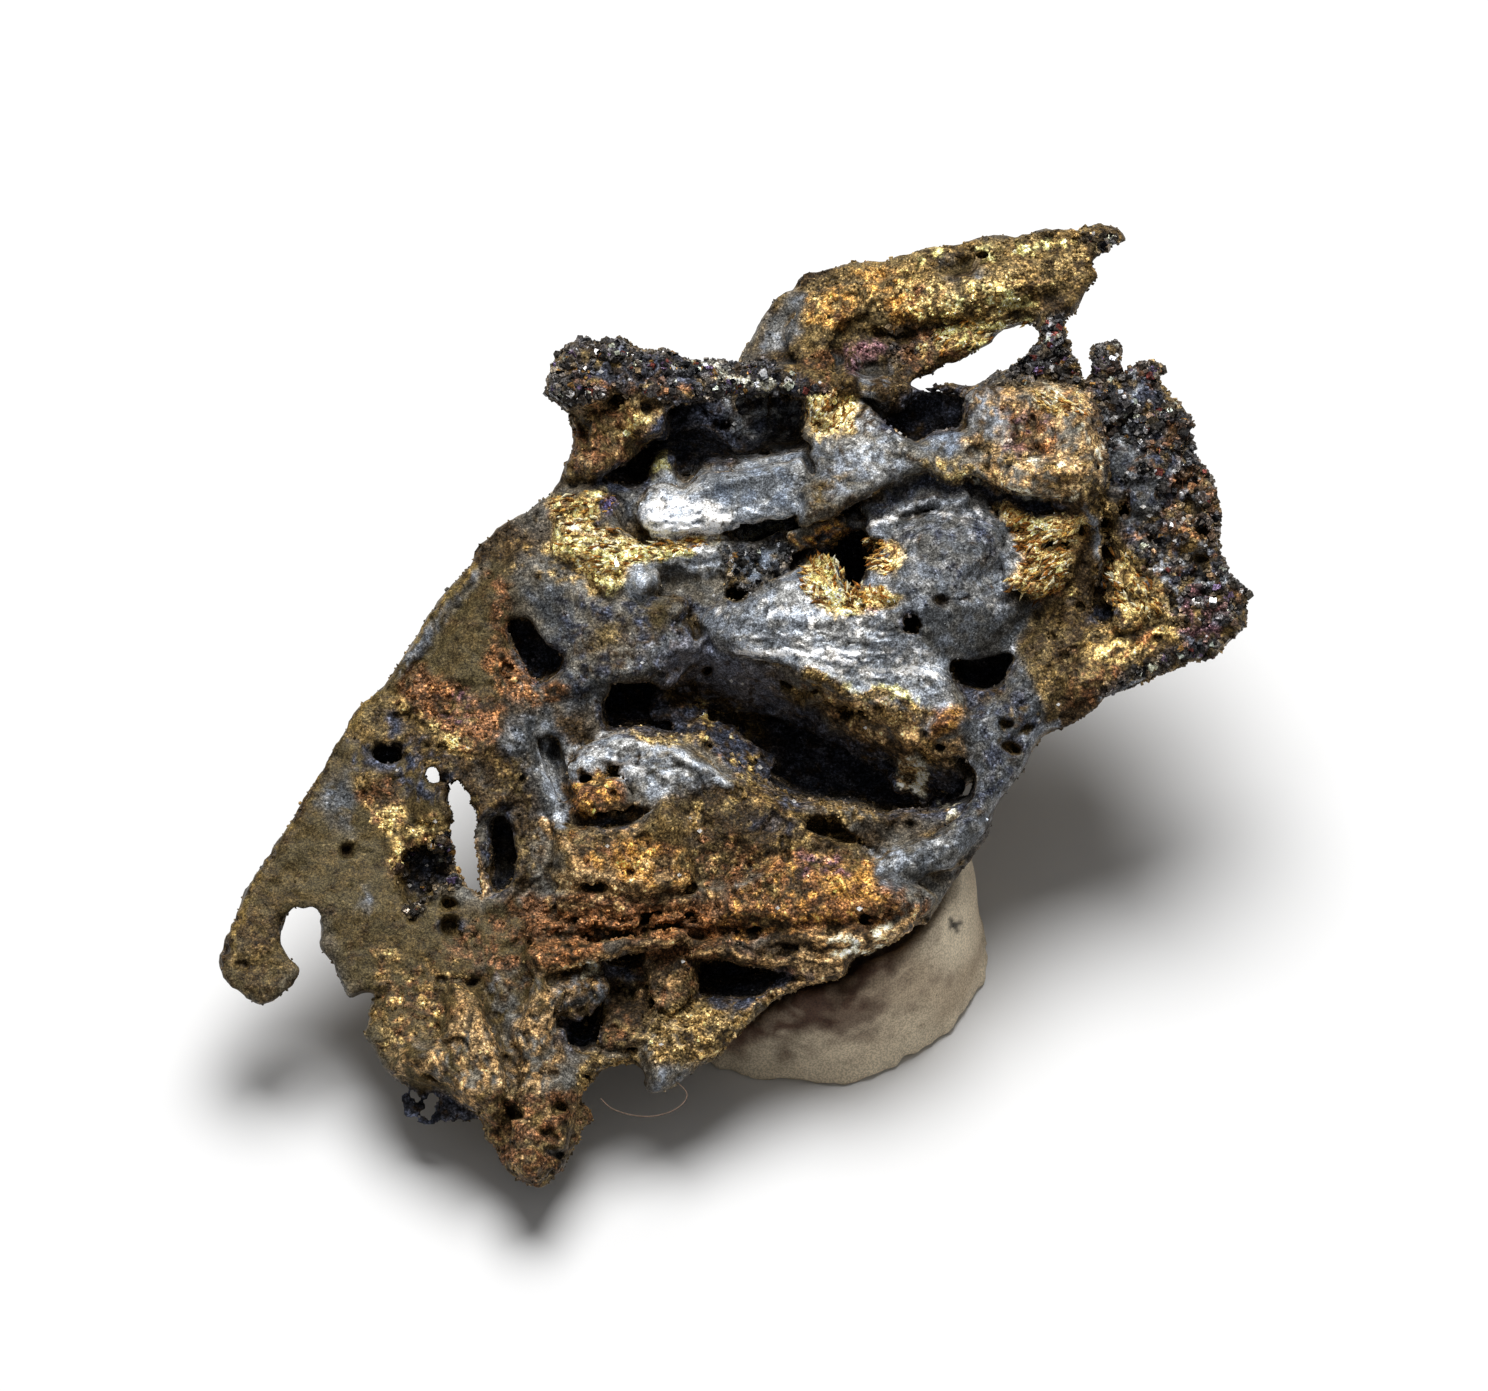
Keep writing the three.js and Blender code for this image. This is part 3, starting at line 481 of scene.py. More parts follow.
# Where each finish lies, as outlines in picture points from below to above. Soft is the width of the
# edge in mm, ragged how far it wanders, and cover, or a bare number, the share that is speckled with it.
patches = [
    ("olive", [500, 545, 410, 648, 342, 740, 265, 860, 218, 975, 264, 1010, 306, 962, 284, 925, 316, 905, 350, 990,
               366, 1034, 398, 1090, 520, 1130, 560, 960, 520, 905, 452, 900, 440, 770, 530, 640], {"soft": 0.6}),
    ("umber", [236, 905, 285, 900, 284, 950, 304, 966, 264, 1004, 228, 975], {"soft": 1.2, "cover": 0.6}),
    ("bronze", [345, 740, 385, 690, 420, 700, 450, 745, 430, 765, 380, 742], {"soft": 0.5}),
    ("steel", [394, 672, 425, 630, 470, 568, 480, 574, 440, 630, 408, 676], {"soft": 0.12, "cover": 0.6}),
    ("olive", [455, 600, 490, 570, 500, 640, 470, 680, 430, 660], {"soft": 0.6}),
    ("umber", [395, 716, 420, 740, 470, 770, 520, 800, 540, 860, 520, 900, 480, 850, 440, 770, 405, 745], {"soft": 0.6}),
    ("rust", [488, 570, 512, 585, 508, 640, 490, 650], 0.7),
    ("rust", redPlace, 1),
    ("copper", redPlace, 0.3),
    ("rose", [428, 694, 470, 690, 490, 712, 470, 730, 444, 716], 0.3),
    ("umber", [428, 694, 470, 690, 490, 712, 470, 730, 444, 716], 0.5),
    ("black", [350, 742, 452, 748, 462, 790, 430, 800, 400, 790, 350, 770], 0.4),
    ("umber", [476, 762, 560, 796, 562, 840, 500, 812], {"soft": 0.4}),
    ("slate", [476, 762, 560, 796, 562, 840, 500, 812], 0.4),
    ("gold", [396, 702, 432, 714, 462, 742, 478, 748, 470, 758, 440, 744, 410, 716], 0.5),
    ("slate", [324, 782, 345, 774, 358, 800, 352, 832, 334, 828, 320, 805], {"cover": 0.8, "soft": 0.4}),
    ("rust", [356, 792, 375, 776, 400, 780, 402, 802, 372, 812], 1),
    ("bronze", [352, 778, 372, 768, 386, 778, 372, 790, 355, 792], 1),
    ("gold", [368, 808, 395, 796, 414, 812, 405, 828, 380, 832], 0.5),
    ("gold", [405, 822, 440, 814, 448, 835, 430, 842, 405, 852, 394, 845], 0.7),
    ("gold", [392, 846, 414, 838, 410, 856, 400, 872, 390, 864], 1),
    ("steel", [352, 890, 370, 886, 378, 900, 364, 912, 352, 904], 0.35),
    ("oliveGold", lowerLeft, 0.2),
    ("rust", lowerLeft, 0.16),
    ("gold", lowerLeft, 0.04),
    ("rust", [440, 925, 520, 905, 560, 950, 520, 985, 470, 975], {"cover": 0.45, "soft": 0.6}),
    ("tan", [398, 1052, 440, 1045, 462, 996, 484, 1004, 508, 1060, 500, 1130, 484, 1112, 440, 1080, 402, 1072],
     {"cover": 0.65, "soft": 0.5, "comb": -62}),
    ("tan", [520, 1010, 545, 985, 562, 985, 574, 1022, 556, 1040, 560, 1080, 520, 1110, 510, 1060], {"cover": 0.8, "soft": 0.4, "comb": 55}),
    ("slate", [478, 960, 505, 975, 524, 1040, 506, 1070, 492, 1010], {"cover": 0.35, "soft": 0.5}),
    ("drab", [398, 1040, 440, 1040, 480, 1000, 530, 960, 560, 985, 566, 1080, 520, 1120, 440, 1080], {"cover": 0.35, "soft": 0.4}),
    ("black", [394, 1076, 440, 1086, 482, 1112, 490, 1140, 440, 1140, 404, 1120], {"ragged": 0.25}),
    ("bronze", foot, 1),
    ("tan", [500, 1090, 585, 1084, 600, 1112, 572, 1150, 540, 1182, 500, 1165], 0.12),
    ("umber", foot, 0.45),
    ("rust", foot, 0.4),
    # the grey and brown middle
    ("drab", [560, 580, 660, 592, 735, 600, 700, 630, 680, 665, 620, 690, 570, 705, 510, 700, 540, 640, 520, 600],
     {"soft": 0.5}),
    ("slate", [520, 590, 562, 585, 575, 640, 562, 655, 540, 622], 1),
    ("slate", [640, 645, 690, 610, 735, 600, 745, 650, 760, 700, 700, 690, 660, 670], {"soft": 0.4}),
    ("slate", [560, 660, 640, 670, 610, 700, 560, 712], {"soft": 0.5, "cover": 0.7}),
    ("olive", [640, 600, 674, 598, 668, 632, 645, 640], {"soft": 0.4}),
    ("black", [560, 600, 660, 592, 735, 600, 745, 650, 700, 690, 640, 670, 570, 700, 560, 640], 0.35),
    ("black", [500, 735, 545, 710, 570, 740, 570, 790, 550, 838, 516, 800], 0.45),
    ("bronze", [588, 620, 626, 616, 622, 646, 596, 652], {"soft": 0.4}),
    ("copper", [490, 640, 512, 660, 534, 688, 562, 678, 564, 700, 530, 708, 505, 690, 486, 665], 0.75),
    ("slate", [500, 735, 545, 710, 570, 740, 570, 790, 566, 830, 545, 838, 516, 790], {"soft": 0.35}),
    ("umber", [480, 745, 520, 760, 545, 830, 520, 830, 490, 790], {"soft": 0.5}),
    ("silver", [566, 790, 562, 762, 600, 742, 640, 748, 690, 764, 728, 790, 705, 806, 660, 802, 640, 790,
                610, 770, 590, 784], 0.85),
    ("slate", [668, 752, 700, 758, 730, 782, 715, 806, 690, 790], 0.6),
    ("white", [600, 748, 650, 752, 680, 776, 660, 790, 620, 766], 0.2),
    ("rust", [568, 792, 590, 774, 626, 780, 634, 806, 615, 816, 575, 814], 1),
    ("orange", [568, 790, 590, 774, 616, 780, 622, 800, 606, 816, 575, 814], {"cover": 0.55, "ragged": 0.5}),
    ("tan", [604, 804, 644, 800, 650, 838, 606, 842], 0.5),
    ("bronze", [554, 830, 640, 828, 662, 800, 690, 812, 694, 890, 640, 894, 600, 890, 556, 894], {"soft": 0.4}),
    ("rust", [560, 836, 640, 832, 690, 850, 690, 888, 600, 884, 566, 880], 0.4),
    ("orange", [566, 836, 600, 830, 690, 850, 690, 880, 600, 884], 0.22),
    ("tan", [600, 855, 680, 860, 690, 888, 640, 890, 600, 880], 0.7),
    ("orange", [608, 838, 648, 836, 655, 880, 615, 878], 0.7),
    ("tan", [556, 868, 612, 872, 612, 894, 570, 900], 0.8),
    ("tan", [600, 888, 640, 882, 646, 898, 610, 902], 0.8),
    ("umber", [664, 800, 740, 772, 775, 796, 840, 818, 866, 850, 780, 870, 694, 888, 690, 815], {"soft": 0.3}),
    ("rust", [700, 828, 760, 840, 772, 870, 700, 892], 0.5),
    ("oliveGold", slopeTop, 0.2),
    ("gold", slopeTop, 0.03),
    ("black", [758, 818, 794, 820, 790, 836, 762, 836], {"soft": 0.15}),
    ("rust", [524, 896, 720, 893, 722, 932, 526, 938], {"soft": 0.2}),
    ("tan", [540, 894, 720, 893, 720, 908, 544, 912], 0.3),
    ("copper", [540, 912, 720, 905, 722, 936, 640, 938], 0.5),
    ("copper", orangePlace, 1),
    ("orange", orangePlace, 0.36),
    ("rust", orangePlace, 0.42),
    ("oliveGold", [740, 868, 800, 862, 800, 900, 748, 902], 0.35),
    ("umber", orangePlace, 0.25),
    ("orange", [820, 872, 870, 868, 876, 896, 825, 896], {"soft": 0.3}),
    ("rose", [800, 856, 862, 862, 850, 874, 800, 872], 0.6),
    ("umber", [836, 840, 880, 846, 880, 872, 850, 874], 0.4),
    ("rust", [860, 900, 920, 890, 930, 910, 900, 924, 860, 925], 0.6),
    # the thin sheets and caves at the bottom
    ("copper", [530, 940, 604, 936, 604, 966, 560, 971, 530, 962], 0.75),
    ("rust", [640, 945, 720, 940, 810, 958, 800, 975, 700, 978, 655, 985, 650, 960], 1),
    ("umber", [690, 944, 800, 950, 800, 970, 700, 965], 0.6),
    ("tan", [800, 930, 925, 922, 890, 944, 852, 958, 835, 972, 800, 978, 790, 950], 0.5),
    ("black", [604, 976, 610, 957, 630, 953, 648, 958, 640, 976], {"ragged": 0.15}),
    ("cream", [583, 962, 602, 957, 604, 975, 586, 977], {"soft": 0.12}),
    ("cream", [655, 976, 668, 974, 670, 995, 655, 998], {"soft": 0.12, "cover": 0.8}),
    ("black", [697, 976, 740, 966, 815, 972, 780, 985, 757, 1002, 735, 1008, 700, 1004], {"ragged": 0.15}),
    ("umber", [560, 984, 650, 980, 660, 995, 644, 1045, 590, 1045, 560, 1035], 1),
    ("slate", [552, 980, 605, 976, 606, 1006, 560, 1006], 0.6),
    ("steel", [556, 980, 605, 976, 604, 990, 570, 996], 0.5),
    ("tan", [556, 974, 605, 970, 604, 990, 570, 996], 0.35),
    ("umber", pitLump, 1),
    ("rust", pitLump, 0.5),
    ("tan", pitLump, 0.15),
    ("rust", [600, 1000, 640, 1005, 640, 1045, 605, 1045], 0.4),
    ("black", [558, 1036, 566, 1020, 596, 1014, 598, 1040, 572, 1046], {"soft": 0.25}),
    ("oliveGold", [590, 1052, 645, 1050, 642, 1064, 600, 1073, 582, 1088, 570, 1070], 0.8),
    ("oliveGold", [652, 1012, 690, 1000, 735, 1012, 770, 990, 805, 978, 752, 1016, 716, 1054, 690, 1066,
                   655, 1060, 645, 1035], 0.8),
    ("steel", [646, 1062, 690, 1062, 690, 1072, 658, 1094, 646, 1088], 0.7),
    # the horn, the wall under it and the upper cavity
    ("night", [546, 392, 552, 355, 578, 336, 622, 334, 700, 358, 800, 362, 908, 385, 885, 402, 800, 400, 690, 405,
               615, 397, 568, 408], {"ragged": 0.2}),
    ("rust", [560, 375, 640, 372, 700, 385, 690, 405, 615, 397], 0.3),
    ("black", [556, 345, 700, 350, 860, 372, 800, 400, 600, 395], 0.3),
    ("cream", [696, 362, 708, 362, 730, 376, 768, 378, 768, 388, 728, 384, 708, 372], {"cover": 0.5, "soft": 0.1}),
    ("bronze", [568, 402, 600, 400, 640, 396, 674, 408, 668, 440, 640, 445, 620, 470, 590, 482, 564, 480, 574, 440], 1),
    ("rust", hornWall, 0.5),
    ("tan", hornWall, 0.2),
    ("gold", [614, 404, 660, 400, 672, 424, 640, 440, 616, 436], 0.4),
    ("black", [662, 405, 740, 392, 800, 398, 805, 420, 797, 440, 752, 452, 705, 462, 686, 470, 668, 466, 656, 452,
               640, 445], {"ragged": 0.12, "cover": 0.85}),
    ("black", [586, 484, 600, 474, 624, 466, 650, 470, 648, 492, 630, 500, 600, 486], {"ragged": 0.2}),
    ("slate", [730, 415, 795, 410, 795, 440, 740, 440], 0.6),
    ("silver", [730, 396, 797, 394, 800, 440, 730, 444], 0.22),
    ("brightGold", [654, 484, 650, 466, 660, 450, 669, 462, 670, 484], 0.85),
    # the silver shelf and the golden shoulder
    ("slate", [612, 492, 640, 486, 632, 515, 648, 538, 625, 532, 608, 510], {"soft": 0.15}),
    ("silver", [636, 508, 648, 482, 662, 466, 680, 476, 700, 468, 730, 466, 750, 456, 800, 444, 812, 462, 812, 490,
                797, 522, 735, 532, 690, 535, 645, 540, 636, 520], {"ragged": 0.12, "soft": 0.12}),
    ("white", [638, 508, 664, 490, 700, 500, 720, 506, 716, 526, 735, 531, 648, 538], 0.6),
    ("white", [640, 515, 700, 515, 796, 508, 792, 527, 735, 531, 648, 540], 0.5),
    ("blueSteel", [700, 472, 794, 452, 799, 500, 730, 508, 706, 500], {"soft": 0.4}),
    ("slate", [800, 442, 816, 452, 824, 478, 815, 505, 797, 520], {"soft": 0.15}),
    ("oliveGold", [528, 522, 560, 496, 565, 560, 590, 590, 540, 585, 500, 560], 0.2),
    ("gold", [556, 498, 600, 486, 614, 496, 604, 520, 640, 540, 722, 536, 690, 554, 640, 562, 622, 590, 595, 590,
              570, 562, 552, 548], 0.85),
    ("brightGold", [560, 496, 606, 486, 600, 500, 566, 508], 0.7),
    ("brightGold", [560, 535, 640, 545, 690, 552, 620, 562, 566, 555], {"cover": 0.5, "comb": -3}),
    ("cream", [566, 520, 640, 540, 722, 538, 690, 552, 600, 560], {"cover": 0.35, "comb": -6}),
    ("umber", [556, 500, 612, 500, 640, 545, 700, 545, 640, 575, 570, 562], {"cover": 0.2, "comb": -6}),
    ("violet", [590, 500, 612, 496, 610, 516, 596, 520], 0.85),
    ("silver", [636, 562, 700, 545, 735, 543, 735, 562, 715, 574, 660, 580, 636, 574], 0.9),
    ("brightGold", [598, 574, 620, 566, 626, 584, 608, 594], 0.85),
    ("silver", [626, 568, 656, 564, 658, 585, 640, 598, 624, 590], 1),
    # the upper blade
    ("bronze", [744, 349, 776, 292, 842, 258, 950, 240, 1103, 216, 1134, 236, 1096, 253, 1103, 274, 1085, 297,
                1062, 322, 1038, 322, 1003, 332, 930, 375, 905, 388, 860, 402, 800, 372], {"soft": 0.2}),
    ("oliveGold", [800, 280, 950, 246, 1092, 226, 1098, 275, 1040, 300, 1040, 318, 960, 325, 880, 320, 800, 320],
     0.7),
    ("brightGold", [905, 262, 960, 246, 1090, 232, 1092, 246, 1000, 254, 930, 272], 0.14),
    ("orange", [806, 292, 845, 284, 860, 300, 842, 324, 806, 322], 0.65),
    ("orange", [884, 298, 915, 296, 920, 318, 894, 326], 0.85),
    ("orange", [860, 268, 900, 266, 905, 282, 868, 285], 0.5),
    ("slate", [750, 348, 768, 310, 800, 286, 812, 290, 800, 322, 780, 352], {"soft": 0.3}),
    ("steel", [752, 354, 764, 332, 792, 326, 790, 346, 768, 358], 0.8),
    ("slate", [945, 262, 978, 258, 990, 282, 950, 292], {"soft": 0.3, "cover": 0.8}),
    ("gold", [896, 284, 950, 282, 1010, 270, 1064, 276, 1046, 302, 1000, 314, 920, 318], 0.5),
    ("brightGold", [930, 284, 1000, 284, 1040, 296, 1000, 312, 930, 312], 0.25),
    ("umber", [828, 352, 900, 326, 945, 318, 940, 366, 884, 398, 838, 392], {"soft": 0.3}),
    ("night", [890, 325, 950, 318, 950, 345, 905, 375, 885, 360], 0.6),
    ("rust", [900, 330, 960, 322, 1000, 326, 985, 348, 930, 368, 900, 372], 0.5),
    ("gold", [920, 340, 960, 318, 1040, 316, 985, 348, 930, 368], 0.35),
    ("brightGold", [940, 322, 985, 316, 990, 340, 950, 350], 0.35),
    ("rose", [842, 342, 885, 334, 886, 356, 850, 364], 0.8),
    ("rust", [808, 352, 835, 350, 830, 395, 808, 396], 0.55),
    ("steel", [860, 352, 892, 362, 890, 396, 862, 392], 0.5),
    ("umber", [1038, 288, 1088, 290, 1066, 324, 1040, 322], {"soft": 0.3}),
    ("night", [1085, 236, 1110, 222, 1136, 236, 1104, 254], {"soft": 0.2}),
    # right of the upper cavity
    ("drab", [800, 438, 850, 425, 905, 432, 960, 430, 1000, 450, 1003, 486, 930, 474, 870, 492, 800, 530, 812, 470], 1),
    ("silver", [846, 396, 884, 400, 880, 426, 850, 434], 0.5),
    ("tuft", tuftTop, {"cover": 0.8, "comb": 55}),
    ("brightGold", [810, 398, 850, 402, 840, 412, 812, 412], 0.6),
    ("steel", [805, 440, 900, 440, 905, 475, 840, 500, 818, 480], 0.75),
    ("silver", [845, 440, 912, 428, 915, 460, 880, 480, 850, 480], 0.4),
    ("blueSteel", [914, 434, 962, 430, 962, 452, 922, 456], 0.85),
    ("bronze", [820, 480, 850, 475, 840, 505, 815, 510], 0.6),
    ("gold", [925, 462, 1003, 452, 1003, 484, 985, 472, 950, 482], 0.5),
    ("black", [884, 426, 878, 412, 902, 406, 914, 390, 960, 387, 970, 402, 961, 430, 935, 432, 918, 443, 905, 438],
     {"ragged": 0.15}),
    ("night", [985, 385, 1020, 360, 1040, 338, 1036, 316, 1064, 316, 1066, 340, 1092, 388, 1040, 384], {"ragged": 0.2}),
    ("tan", tanBlock, 1),
    ("drab", tanBlock, 0.4),
    ("cream", tanBlock, 0.03),
    ("rose", [1004, 410, 1050, 416, 1052, 456, 1008, 454], {"cover": 0.5, "soft": 0.4}),
    ("oliveGold", [975, 440, 1010, 450, 1105, 440, 1100, 490, 1010, 485], 0.25),
    ("copper", [1000, 398, 1030, 396, 1060, 430, 1050, 462, 1010, 440], 0.3),
    ("gold", [1028, 390, 1080, 394, 1088, 416, 1050, 416], 0.5),
    ("steel", [958, 392, 1002, 384, 1012, 408, 1005, 436, 972, 432], 0.4),
    ("oliveGold", [1075, 480, 1108, 470, 1118, 540, 1112, 600, 1096, 604, 1096, 540], 0.75),
    # the dark cluster on the right
    ("night", [1086, 392, 1092, 366, 1090, 350, 1124, 340, 1126, 370, 1156, 356, 1192, 418, 1224, 500, 1230, 580,
               1252, 595, 1246, 630, 1205, 660, 1168, 652, 1160, 610, 1130, 560, 1114, 482, 1104, 440], {"ragged": 0.2}),
    ("silver", darkCluster, 0.1),
    ("slate", [1104, 450, 1150, 440, 1165, 500, 1150, 560, 1118, 520], {"cover": 0.75, "soft": 0.4}),
    ("rust", darkCluster, 0.2),
    ("black", darkCluster, 0.2),
    ("copper", [1165, 480, 1215, 480, 1215, 540, 1170, 545], 0.3),
    ("oliveGold", [1160, 480, 1222, 500, 1225, 580, 1175, 585], 0.2),
    ("rose", [1170, 575, 1225, 590, 1215, 645, 1175, 645], 0.35),
    ("tuft", tuftEdge, {"cover": 0.6, "comb": -50}),
    ("bronze", [1120, 540, 1160, 560, 1170, 600, 1140, 610, 1112, 580], 0.4),
    ("black", [1082, 605, 1110, 600, 1122, 628, 1100, 635, 1085, 625], {"soft": 0.2}),
    ("bronze", [1075, 644, 1095, 622, 1112, 636, 1160, 612, 1178, 640, 1150, 668, 1105, 690, 1060, 704, 1060, 674], 1),
    ("tuft", [1082, 644, 1110, 634, 1166, 618, 1170, 640, 1110, 668], {"cover": 0.25, "comb": 30}),
    ("rust", [1055, 650, 1110, 650, 1130, 690, 1060, 710], 0.5),
    ("night", [1150, 655, 1180, 645, 1200, 660, 1130, 692, 1100, 700, 1096, 690], 0.7),
    # the crevice and the dome
    ("slate", crevice, {"ragged": 0.08, "soft": 0.12}),
    ("black", crevice, {"cover": 0.5, "soft": 0.12}),
    ("black", [948, 488, 968, 476, 985, 479, 1003, 492, 1050, 496, 1062, 502, 1052, 513, 1040, 521, 1020, 508, 1000, 500,
               960, 492], {"ragged": 0.08, "soft": 0.12}),
    ("orange", [788, 532, 815, 527, 840, 518, 850, 524, 838, 540, 800, 548, 788, 546], {"soft": 0.12, "cover": 0.45}),
    ("steel", [705, 612, 745, 598, 800, 562, 845, 545, 868, 526, 900, 506, 960, 491, 1000, 506, 1028, 555, 1048, 612,
               1015, 656, 960, 661, 945, 680, 960, 722, 935, 742, 880, 708, 835, 692, 790, 668, 720, 651], {"soft": 0.15}),
    ("slate", [885, 512, 930, 496, 985, 500, 1010, 535, 985, 560, 900, 562, 872, 545], {"cover": 0.85, "soft": 0.4}),
    ("steel", [880, 545, 985, 560, 1020, 560, 1010, 596, 900, 590], {"cover": 0.3, "comb": -4}),
    ("silver", [880, 520, 925, 500, 935, 503, 905, 516, 884, 526], {"cover": 0.5, "soft": 0.1}),
    ("silver", [735, 612, 790, 580, 808, 590, 850, 606, 900, 596, 975, 575, 1020, 570, 1034, 590, 960, 598, 885, 604,
                800, 628, 740, 622], 0.75),
    ("silver", [725, 645, 780, 628, 870, 630, 935, 640, 950, 655, 940, 680, 955, 712, 900, 696, 830, 686, 770, 660],
     0.6),
    ("white", [740, 636, 800, 640, 860, 650, 935, 645, 940, 690, 900, 684, 850, 680, 790, 664, 740, 650],
     {"cover": 0.14, "comb": -8}),
    ("slate", [740, 610, 850, 612, 900, 640, 940, 690, 900, 690, 800, 660, 730, 640], {"cover": 0.22, "comb": -6}),
    ("white", [705, 612, 800, 588, 900, 596, 960, 590, 880, 640, 760, 632], 0.06),
    ("white", [880, 512, 990, 510, 1030, 560, 1000, 590, 900, 590], 0.12),
    ("black", [880, 520, 990, 515, 1030, 600, 1000, 650, 900, 640], 0.12),
    ("white", [945, 590, 1040, 600, 1030, 650, 940, 650], 0.1),
    ("slate", [884, 606, 975, 600, 1040, 604, 1044, 626, 1000, 656, 940, 652, 920, 640, 890, 640], {"soft": 0.25}),
    ("tuft", tuftMiddle, 0.9),
    ("brightGold", [806, 580, 812, 555, 836, 560, 845, 586, 884, 590, 902, 598, 850, 614], {"cover": 0.45, "comb": -40}),
    ("tuft", tuftSmall, 0.9),
    ("orange", [928, 712, 950, 706, 966, 716, 958, 736, 934, 738], 1),
    ("tan", [940, 738, 965, 738, 970, 760, 948, 764], 0.8),
    ("blueSteel", [742, 542, 766, 542, 762, 576, 745, 576], 0.8),
    ("copper", [1003, 503, 1045, 522, 1062, 510, 1082, 516, 1080, 545, 1066, 592, 1040, 600, 1006, 588, 1030, 560,
                1018, 540], 1),
    ("tuft", tuftRight, {"cover": 0.75, "comb": 32}),
    ("brightGold", [1012, 520, 1060, 520, 1072, 540, 1050, 585, 1030, 590, 1035, 560], {"cover": 0.3, "comb": 32}),
    ("umber", [1062, 590, 1072, 545, 1092, 530, 1100, 600, 1085, 640], {"soft": 0.25}),
    ("oliveGold", tuftFoot, 0.6),
    ("gold", tuftFoot, 0.25),
    ("bronze", [1036, 606, 1064, 594, 1090, 615, 1074, 650, 1066, 700, 1046, 732, 1024, 700, 1020, 650], {"soft": 0.3}),
    ("umber", [1030, 610, 1070, 600, 1090, 615, 1070, 700, 1046, 728], 0.6),
    ("slate", [1018, 656, 1003, 692, 965, 720, 962, 752, 976, 790, 960, 814, 905, 852, 872, 866, 890, 885, 960, 875,
               985, 832, 1022, 772, 1046, 732, 1040, 690], {"soft": 0.25}),
    ("steel", [965, 720, 1000, 694, 1010, 720, 985, 790, 960, 830, 905, 862, 880, 856, 960, 812], 0.25),
    ("silver", [866, 846, 950, 842, 940, 862, 880, 866], 0.4),
    ("umber", [1000, 700, 1030, 690, 1040, 725, 1010, 760], 0.5),
    ("black", [970, 700, 1020, 690, 1040, 725, 1000, 800, 960, 830, 985, 770], 0.5),
    # the big cavity and the pits
    ("black", [650, 690, 690, 668, 740, 660, 790, 684, 835, 720, 865, 742, 915, 766, 955, 770, 975, 784, 966, 812,
               935, 822, 885, 812, 845, 806, 800, 806, 770, 790, 735, 762, 700, 738], {"ragged": 0.2}),
    ("soot", [664, 652, 690, 640, 730, 652, 775, 664, 800, 690, 790, 712, 745, 712, 700, 700, 668, 690], {"soft": 0.5}),
    ("drab", [776, 660, 815, 676, 860, 700, 900, 712, 935, 742, 962, 756, 965, 775, 925, 768, 880, 748, 835, 726,
                800, 700], {"soft": 0.3}),
    ("tan", [820, 690, 860, 700, 900, 712, 935, 742, 962, 756, 965, 775, 925, 768, 880, 748, 835, 722],
     {"cover": 0.7, "comb": -38}),
    ("rust", [785, 672, 830, 690, 925, 744, 955, 766, 915, 758, 850, 722], 0.25),
    ("oliveGold", domeLip, {"cover": 0.5, "comb": -38}),
    ("tan", domeLip, {"cover": 0.3, "comb": -38}),
    ("cream", [795, 664, 850, 680, 905, 694, 930, 712, 905, 704, 850, 690], {"cover": 0.25, "soft": 0.1}),
    ("brightGold", [845, 682, 900, 688, 918, 702, 900, 708, 860, 696], {"cover": 0.4, "soft": 0.1}),
    ("umber", [655, 696, 690, 676, 740, 700, 790, 760, 770, 785, 735, 762, 690, 735], {"soft": 0.4, "cover": 0.85}),
    ("black", [680, 704, 740, 716, 790, 760, 770, 785, 735, 770, 700, 740], 0.55),
    ("gold", [662, 698, 700, 706, 742, 735, 770, 765, 756, 784, 720, 755, 680, 724], 0.13),
    ("cream", [893, 776, 900, 762, 918, 758, 932, 775, 924, 796, 912, 784, 895, 786], {"soft": 0.1, "cover": 0.85}),
    ("black", [940, 784, 966, 784, 966, 812, 935, 824, 905, 818, 912, 796, 930, 800], 0.8),
    ("cream", [935, 802, 948, 804, 950, 820, 940, 820], {"soft": 0.1, "cover": 0.8}),
    ("oliveGold", [808, 800, 880, 806, 886, 822, 830, 824], 0.7),
    ("black", [596, 710, 612, 684, 650, 685, 668, 700, 702, 738, 660, 737, 606, 736], {"ragged": 0.12}),
    ("gold", [628, 728, 655, 736, 692, 738, 682, 752, 650, 746], 0.4),
    ("black", [503, 628, 512, 618, 526, 619, 545, 645, 562, 652, 562, 672, 540, 688, 528, 680, 515, 650],
     {"ragged": 0.12}),
    ("black", [720, 537, 742, 528, 795, 523, 790, 540, 812, 546, 806, 562, 790, 574, 770, 580, 745, 598, 730, 592,
               738, 570], {"ragged": 0.12, "cover": 0.4}),
    ("night", [726, 546, 790, 538, 794, 566, 756, 590, 736, 590, 728, 570], {"soft": 0.1}),
    ("blueSteel", [728, 550, 788, 542, 788, 568, 740, 586], 0.6),
    ("black", [800, 560, 830, 542, 845, 534, 868, 534, 872, 555, 862, 578, 852, 596, 842, 588, 838, 568, 822, 556],
     {"ragged": 0.12}),
    ("black", [898, 625, 903, 614, 914, 612, 921, 620, 919, 632, 909, 638, 901, 634], {"ragged": 0.05, "soft": 0.1}),
    ("black", [948, 676, 957, 664, 985, 664, 1018, 656, 1010, 678, 1000, 694, 980, 704, 958, 690], {"ragged": 0.12}),
    ("black", [370, 752, 384, 744, 402, 747, 405, 760, 384, 770], {"ragged": 0.15}),
    ("black", [388, 715, 397, 712, 402, 733, 392, 738], {"ragged": 0.1}),
    ("night", [398, 872, 406, 850, 424, 838, 446, 828, 456, 850, 462, 878, 440, 892, 418, 915, 406, 906],
     {"ragged": 0.2, "cover": 0.8}),
